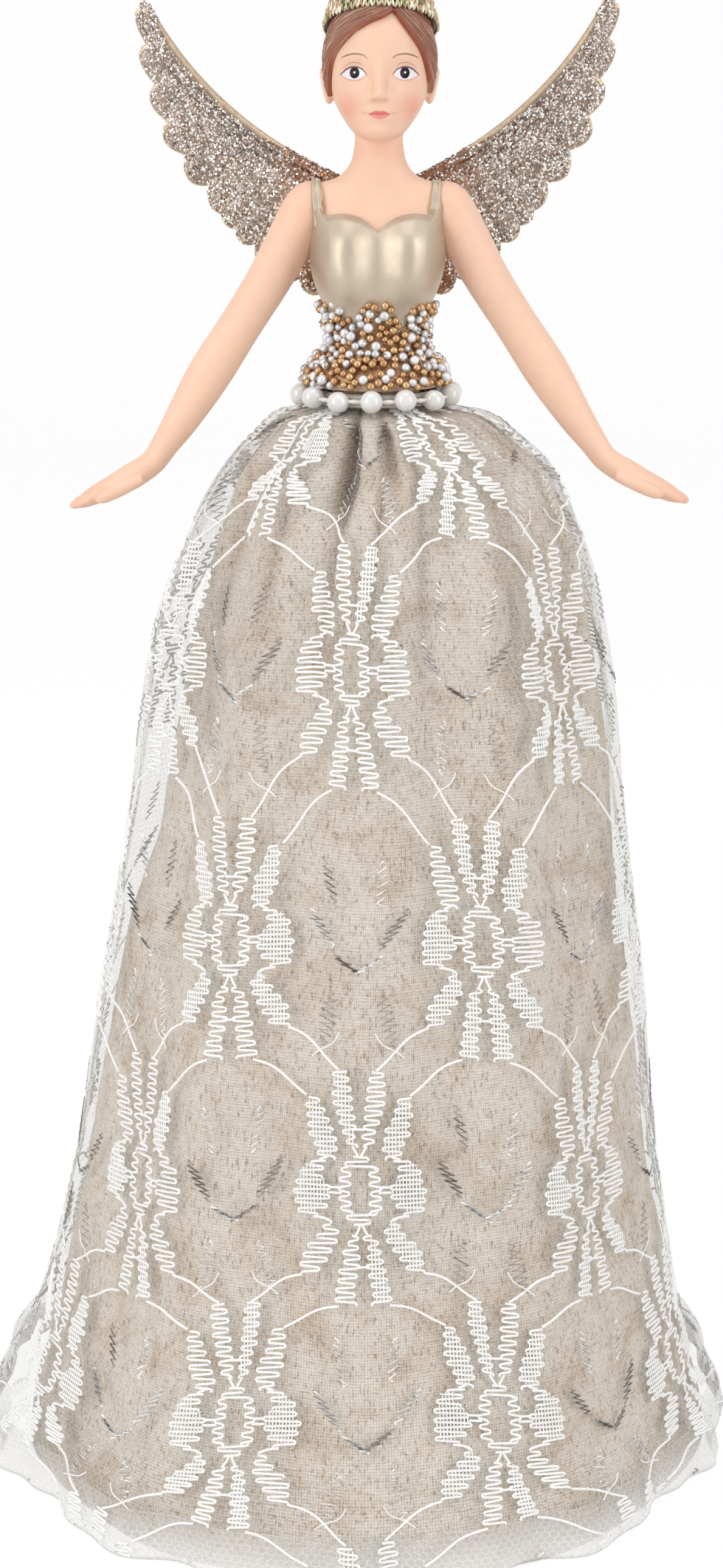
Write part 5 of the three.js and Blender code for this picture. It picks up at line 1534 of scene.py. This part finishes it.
def net_finish():
    finish = Finish("white_net", (232, 229, 222), 0.6, Specular_IOR_Level=0.3)
    grain = finish.noise(finish.place(), 900, 2)
    flat = finish.parts(finish.flat())
    # The net is closer where it is doubled at the hem, and painted whiter there as painted light
    hem_doubling_and_light = finish.span(finish.math("ABSOLUTE", flat["Y"]), 11, 3)
    thread = finish.ramp(grain, [(0.3, (212, 209, 203)), (0.7, (230, 229, 225))])
    finish.set(Base_Color=finish.mix(hem_doubling_and_light, thread, rgb(250, 249, 247)))
    # A honeycomb from two sets of cells: how near a place is to the border of its hexagon
    tall = math.sqrt(3)

    def beside(way, shift, size):
        value = finish.math("ADD", finish.math("DIVIDE", flat[way], NET_PITCH), shift)
        value = finish.math("SUBTRACT", finish.math("FLOORED_MODULO", value, size), size / 2)
        return finish.math("ABSOLUTE", value)

    def cell(shift_x, shift_y):
        a, b = beside("X", shift_x, 1.0), beside("Y", shift_y, tall)
        return finish.math("MAXIMUM", a, finish.math("ADD", finish.times(a, 0.5), finish.times(b, tall / 2)))

    inside = finish.math("MINIMUM", cell(0.0, 0.0), cell(0.5, tall / 2))
    line = finish.times(finish.math("GREATER_THAN", inside, 0.5 - 0.04), 0.4)
    finish.set(Alpha=finish.math("ADD", line, finish.span(hem_doubling_and_light, 0, 1, 0.17, 0.46)))
    finish.material.surface_render_method = "DITHERED"
    return finish.material


def make_net():
    around, rows = 620, 260
    across = np.linspace(-CLOTH_WIDTH / 2, CLOTH_WIDTH / 2, around)[None, :]
    up = NET_LENGTH * np.linspace(0, 1, rows)[:, None]
    outside = net_surface(*on_skirt(across + 0 * up, up + 0 * across))
    # The hem is turned up on the inside
    fold = np.linspace(NET_TURN_UP, 0.4, 12)[:, None]
    share = np.interp(fold, LENGTHS, LENGTH_SHARES)
    inside = net_surface(share + 0 * across, cloth_angle(across, share), -0.3 - 1.1 * smoothstep(0, 3, fold))
    uv = np.stack(np.broadcast_arrays(across, np.concatenate([-fold, up])), -1)
    cloth = as_grid(np.concatenate([inside, outside]))
    return make_piece("net_cloth", cloth, net_finish(), "net", "lace_overlay", uv=uv)


# Embroidery: cords that wander over the net in leaf shapes round small rings

# Each leaf of the right half: height, inner and outer edge, in millimetres from the motif's centre
OUTER_TOP = [
    (17.75, 6.9, 9.5), (16.3, 6.4, 9.3), (14.5, 5.8, 9.3), (12.8, 4.75, 9.0), (11, 4.2, 9.1),
    (9.2, 4.1, 7.85), (7.8, 4.0, 7.5), (6.4, 4.4, 6.4),
]
OUTER_MIDDLE = [
    (5.6, 5.6, 9.0), (5.0, 6.4, 10.8), (3.5, 7.6, 11.1), (1.8, 5.65, 11.5), (0.3, 5.3, 12), (-1.1, 5.3, 12),
    (-2.5, 5.85, 11.7), (-3.6, 7.5, 11.5), (-5.0, 7.6, 9.7),
]
OUTER_FOOT = [
    (-5.8, 5.1, 6.6), (-7.4, 4.2, 6.6), (-8.9, 4.1, 8.2), (-10.6, 4.9, 9.9), (-12.4, 5.85, 10.8),
    (-14.2, 7.1, 11.1), (-16, 8.2, 11.1),
]
INNER_TOP = [
    (23, 1.7, 4.4), (21, 1.7, 4.6), (19, 1.4, 4.4), (17, 1.2, 4.2), (15, 0.9, 3.6), (13, 0.8, 3.3),
    (11, 0.6, 2.6), (9, 0.6, 2.2),
]
INNER_FOOT = [
    (-8.9, 0.5, 2.0), (-10.3, 0.9, 2.9), (-12, 0.9, 3.3), (-13.8, 0.4, 3.4), (-15.6, 1.0, 4.2),
    (-17.4, 1.3, 4.2), (-19.2, 1.6, 4.75), (-21, 1.2, 4.9), (-22.2, 1.6, 4.6),
]
LEAVES = [(OUTER_TOP, 1), (OUTER_MIDDLE, 0), (OUTER_FOOT, 1), (INNER_TOP, 0), (INNER_FOOT, 1)]
RING_SIDE = [(4.6, 1.5, 3.3), (2, 1.7, 3.7), (0, 2.0, 3.7), (-2, 1.7, 3.7), (-4.6, 1.5, 3.3)]
RING_CAP = [(6.6, -1.6, 1.6), (5.6, -2.5, 2.5), (4.7, -2.9, 2.9)]
# Short plain cords of the right half, each as two or more places
LINKS = [
    [(3.2, 0.6), (5.6, 0.6)],
    [(3.2, -0.45), (5.6, -0.45)],
    [(1.3, 8.8), (0.7, 7.6), (0.15, 6.6)],
    [(0.15, -6.5), (0.5, -7.6), (1.1, -8.8)],
    [(7.2, 5.9), (6.0, 6.4), (5.2, 6.9)],
    [(8.6, -5.2), (6.9, -5.4), (5.6, -5.8)],
    [(0.0, 12.0), (1.0, 12.0)],
    [(0.0, -15.0), (1.2, -15.0)],
]
# Silver leaves beside the gap between motifs: start, end and width
SILVER_LEAVES = [
    ((9.0, 6.0), (4.5, -1.5), 2.6), ((4.2, -2.6), (-0.5, -5.8), 2.0), ((4.5, -9.5), (6.5, -20.0), 2.4),
    ((5.5, 16.0), (4.0, 7.5), 1.8),
]
# Colours of the silver leaves: bright, and darker where a leaf shows a painted dark reflection
LUREX_TONES = [(252, 252, 251), (172, 166, 158)]
# Heights of the rows of motifs on the skirt, and how far apart rows and motifs lie on the flat net
MOTIF_HEIGHTS = (213.5, 174, 123.4, 76.3, 32.0)
MOTIF_DROP = 47.0
MOTIFS_AROUND = 8
MOTIF_STEP = CLOTH_WIDTH / MOTIFS_AROUND


def leaf_edges(rows, line):
    """The inner and outer edge of a leaf at each height of a line that runs down."""
    heights, low, high = (np.array(column, float) for column in zip(*rows))
    return np.interp(-line, -heights, low), np.interp(-line, -heights, high)


def zigzag(rows, pitch, first, source, jitter):
    """A cord that goes to and fro between two edges, with slanting legs and round turns."""
    line = np.arange(rows[0][0], rows[-1][0], -pitch, dtype=float)
    low, high = leaf_edges(rows, line)
    low = low + source.uniform(-jitter, jitter, len(line))
    high = high + source.uniform(-jitter, jitter, len(line))
    points = []
    for i, y in enumerate(line):
        a, b = (low[i], high[i]) if (i + first) % 2 == 0 else (high[i], low[i])
        way = math.copysign(min(pitch / 2, abs(b - a) / 2.2), b - a)
        points += [(a + way, y + 0.1 * pitch), ((a + b) / 2, y), (b - way, y - 0.1 * pitch)]
        near = b - way * 0.28
        points += [(near, y - pitch * 0.22), (b, y - pitch * 0.5), (near, y - pitch * 0.78)]
    return np.array(points)


def true_runs(keep):
    """Runs of places one after another where something holds."""
    runs = np.split(np.arange(len(keep)), np.flatnonzero(np.diff(keep.astype(int))) + 1)
    return [run for run in runs if keep[run[0]]]


def grid_threads(rows, spacing):
    """Thin threads that run down over a leaf, across its legs."""
    line = np.arange(rows[0][0] - 0.3, rows[-1][0], -0.8)
    low, high = leaf_edges(rows, line)
    low, high = low + 0.3, high - 0.3
    threads = []
    for x in np.arange(low.min() + 0.2, high.max(), spacing):
        for run in true_runs((low < x) & (x < high)):
            if len(run) > 2:
                threads.append(np.stack([x + 0 * line[run], line[run]], -1))
    return threads


def tie_line(start, end, bulge):
    """A slack cord between two places, bowed a little to one side."""
    share = np.linspace(0, 1, 16)
    start, end = np.array(start), np.array(end)
    way = end - start
    side = np.array([-way[1], way[0]])
    bow = bulge * np.sin(share * math.pi) + 0.35 * bulge * np.sin(share * TURN)
    return start + way * share[:, None] + side * bow[:, None]


def motif_lines(centre, below, source):
    """Every cord of one motif, and the thin threads on some of its leaves, in the flat cloth."""
    lines, threads = [], []
    drop = below - centre[1]
    step = MOTIF_STEP / 2
    for side in (-1, 1):
        flip = (side, 1)
        for leaf, first in LEAVES:
            lines.append(zigzag(leaf, 0.92, first, source, 0.25) * flip)
            if source.random() < 0.45:
                threads += [thread * flip for thread in grid_threads(leaf, 0.62)]
        lines.append(zigzag(RING_SIDE, 0.95, 0, source, 0.12) * flip)
        lines.append(zigzag(RING_CAP, 0.9, 0, source, 0.15) * (1, side))
        lines += [curve_through(places, 6) * flip for places in LINKS]
        # Plain cords that tie the motif to the two below it, and the sprig on the outer one
        outer = tie_line((11.0, -16.6), (step - 2.9, drop + 23.4), 0.07)
        lines.append(outer * flip)
        lines.append(tie_line((4.4, -22.6), (step - 9.0, drop + 18.3), 0.06) * flip)
        x, y = outer[9]
        sprig = curve_through([(x - 1.5, y - 1.2), (x, y + 0.1), (x + 2.4, y + 1.5), (x + 3.6, y + 3.6)], 14)
        threads.append(sprig * flip)
    shift = np.array(centre) + source.normal(0, 0.12, 2)
    stretch = np.array([1 + source.normal(0, 0.012), 1])
    return [line * stretch + shift for line in lines], [thread * stretch + shift for thread in threads]


def lurex_lines(centre, source):
    """Thin silver leaves in the gaps between motifs, each with whether it shows a painted dark reflection."""
    lines = []
    for side in (-1, 1):
        for start, end, width in SILVER_LEAVES:
            start = np.array(start) + source.normal(0, 0.3, 2)
            end = np.array(end) + source.normal(0, 0.3, 2)
            count = int(np.linalg.norm(end - start) / 0.62)
            share = np.linspace(0, 1, count)
            half = 0.25 + width / 2 * np.sin(share * math.pi) ** 0.8
            swing = np.where(np.arange(count) % 2 == 0, 1.0, -1.0) * half * source.uniform(0.75, 1.1, count)
            line = start + (end - start) * share[:, None] + np.stack([swing, 0.28 * swing], -1)
            dark_reflection = source.random() < 0.4 and abs(centre[0]) < 75
            lines.append((line * (side, 1) + np.array(centre), dark_reflection))
    return lines


def cord_ribbons(lines, radius, lift):
    """Half-round cords along lines of the flat cloth, laid on the net."""
    parts = []
    for line in lines:
        for run in true_runs((line[:, 1] > 0.5) & (line[:, 1] < NET_LENGTH - 1.5)):
            if len(run) < 2:
                continue
            point, normal = cloth_frame(line[run, 0], line[run, 1])
            centre = point + normal * lift
            across = np.cross(normal, unit(np.gradient(centre, axis=0)))
            points = [
                centre + across * (radius * math.cos(a)) + normal * (radius * 0.9 * math.sin(a))
                for a in (-0.35, 0.9, 2.24, 3.49)
            ]
            parts.append(as_grid(np.stack(points, 1)))
    return stack_meshes(parts)


def cord_finish():
    return plain_finish(
        "embroidery_cord", (254, 253, 250), 0.5, lambda finish: finish.noise(finish.place(), 1900, 2),
        [(0.3, (244, 242, 238)), (0.6, (255, 255, 254))], (0.06, 0.6),
        Specular_IOR_Level=0.4, Sheen_Weight=0.3,
    )


def lurex_finish():
    finish = Finish("lurex_thread", (236, 236, 234), 0.3, Metallic=0.25)
    glint = finish.noise(finish.place(), 1300, 2)
    # The ramp paints dark and bright glints on the thread: painted reflections
    stops = [(0.33, (150, 147, 142)), (0.4, (232, 231, 229)), (0.55, (252, 252, 251))]
    finish.colour(glint, stops, finish.painted())
    return finish.material


def make_embroidery():
    source = np.random.default_rng(5)
    shares = [(z - HEM) / (GATHER_TOP - HEM) for z in MOTIF_HEIGHTS]
    rows = [float(np.interp(share, LENGTH_SHARES, LENGTHS)) for share in shares]
    for _ in range(2):
        rows.append(rows[-1] - MOTIF_DROP)
    white, fine, silver = [], [], []
    for k, (up, below) in enumerate(zip(rows, rows[1:])):
        shift = 0.5 if k % 2 == 0 else 0.0
        for column in range(MOTIFS_AROUND):
            across = (column + shift - MOTIFS_AROUND / 2) * MOTIF_STEP
            cords, threads = motif_lines((across, up), below, source)
            white += cords
            fine += threads
            silver += lurex_lines((across + MOTIF_STEP / 2, up), source)
    cords = stack_meshes([cord_ribbons(white, 0.26, 0.12), cord_ribbons(fine, 0.13, 0.3)])
    make_piece("embroidery_cords", cords, cord_finish(), "net", "lace_overlay")
    sorted_lines = ([line for line, dark_reflection in silver if dark_reflection == kind] for kind in (False, True))
    kinds = [cord_ribbons(lines, 0.2, 0.12) for lines in sorted_lines]
    paint = np.repeat(paints(*LUREX_TONES), [len(points) for points, _ in kinds], 0)
    make_piece("lurex_threads", stack_meshes(kinds), lurex_finish(), "net", "lace_overlay", paint=paint)


# Hidden pieces: the elastic, the wadding, the card cone and its plug

def make_elastic():
    material = plain_finish(
        "white_elastic", (230, 226, 218), 0.8, lambda finish: finish.wave(finish.place(), 500, "Z"),
        [(0.2, (206, 200, 190)), (0.7, (238, 235, 228))], (0.15, 0.7),
    )
    angle, ring = full_turn(200)[:, None], full_turn(14)
    wide, tall = (np.sign(wave) * np.abs(wave) ** 0.6 for wave in (np.cos(ring), np.sin(ring)))
    points = round_axis(11.95 + 0.12 * np.cos(40 * angle) + 0.42 * wide, angle, 220.05 + 1.28 * tall)
    band = as_grid(np.concatenate([points, points[:1]]), True)
    make_piece("elastic_band", band, material, "elastic", "gathering_elastic")


def make_wadding():
    material = plain_finish(
        "white_wadding", (244, 243, 240), 0.95, lambda finish: finish.noise(finish.place(), 500, 6, 0.7),
        [(0.3, (222, 220, 215)), (0.6, (248, 247, 245))], (1.2, 0.9),
        Specular_IOR_Level=0.1, Sheen_Weight=0.4,
    )
    share = np.linspace(0.447, 0.922, 46)[:, None]
    angle = full_turn(160)[None, :]
    height = skirt_height(share)
    _, mean, folds, _ = table(SKIRT_SHARES, share[:, 0]).T[..., None]
    radius = VELVET_NECK + mean * (VELVET_HEM - VELVET_NECK) - folds * FOLD_DEPTH - 1.4
    lumps = np.sin(19 * angle + 14 * share * math.pi) * np.sin(31 * share * math.pi + 5 * angle)
    radius = radius + 0.25 * lumps - 0.4
    radius = radius - side_slack(angle, height) - 1.1 * gather_gap(angle, share)
    outer = round_axis(radius, angle, height, np.interp(height, *SKIRT_SWAY))
    inner = round_axis(70.5 - 58.5 * height / 214 + 0.35, angle, height)[::-1]
    layer = as_grid(np.concatenate([outer, inner, outer[:1]]), True)
    return make_piece("wadding_layer", layer, material, "wadding", "skirt_wadding")


def finish_cone():
    card = plain_finish(
        "white_card", (236, 232, 222), 0.75,
        lambda finish: finish.noise(finish.place((1, 1, 0.35)), 420, 6, 0.7),
        [(0.3, (216, 209, 194)), (0.65, (240, 237, 229))], (0.12, 0.5), Specular_IOR_Level=0.2,
    )
    wood = plain_finish(
        "pale_wood", (214, 192, 152), 0.6,
        lambda finish: finish.noise(finish.place((1, 1, 0.12)), 600, 5, 0.6, 1.0),
        [(0.3, (186, 156, 112)), (0.6, (222, 202, 164))], (0.1, 0.4), Specular_IOR_Level=0.25,
    )
    for node, material in (("skirt_cone", card), ("cone_plug", wood)):
        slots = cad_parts[node].data.materials
        slots.clear()
        slots.append(material)


make_face()
make_hair()
make_crown()
make_bodice()
wing_gold = wing_finish()
wing_flakes = flake_finish()
for wing_side in (-1, 1):
    make_wing(wing_side, wing_gold, wing_flakes)
make_beads()
make_pearls()
velvet = make_velvet()
net = make_net()
make_embroidery()
make_elastic()
padding = make_wadding()
finish_cone()
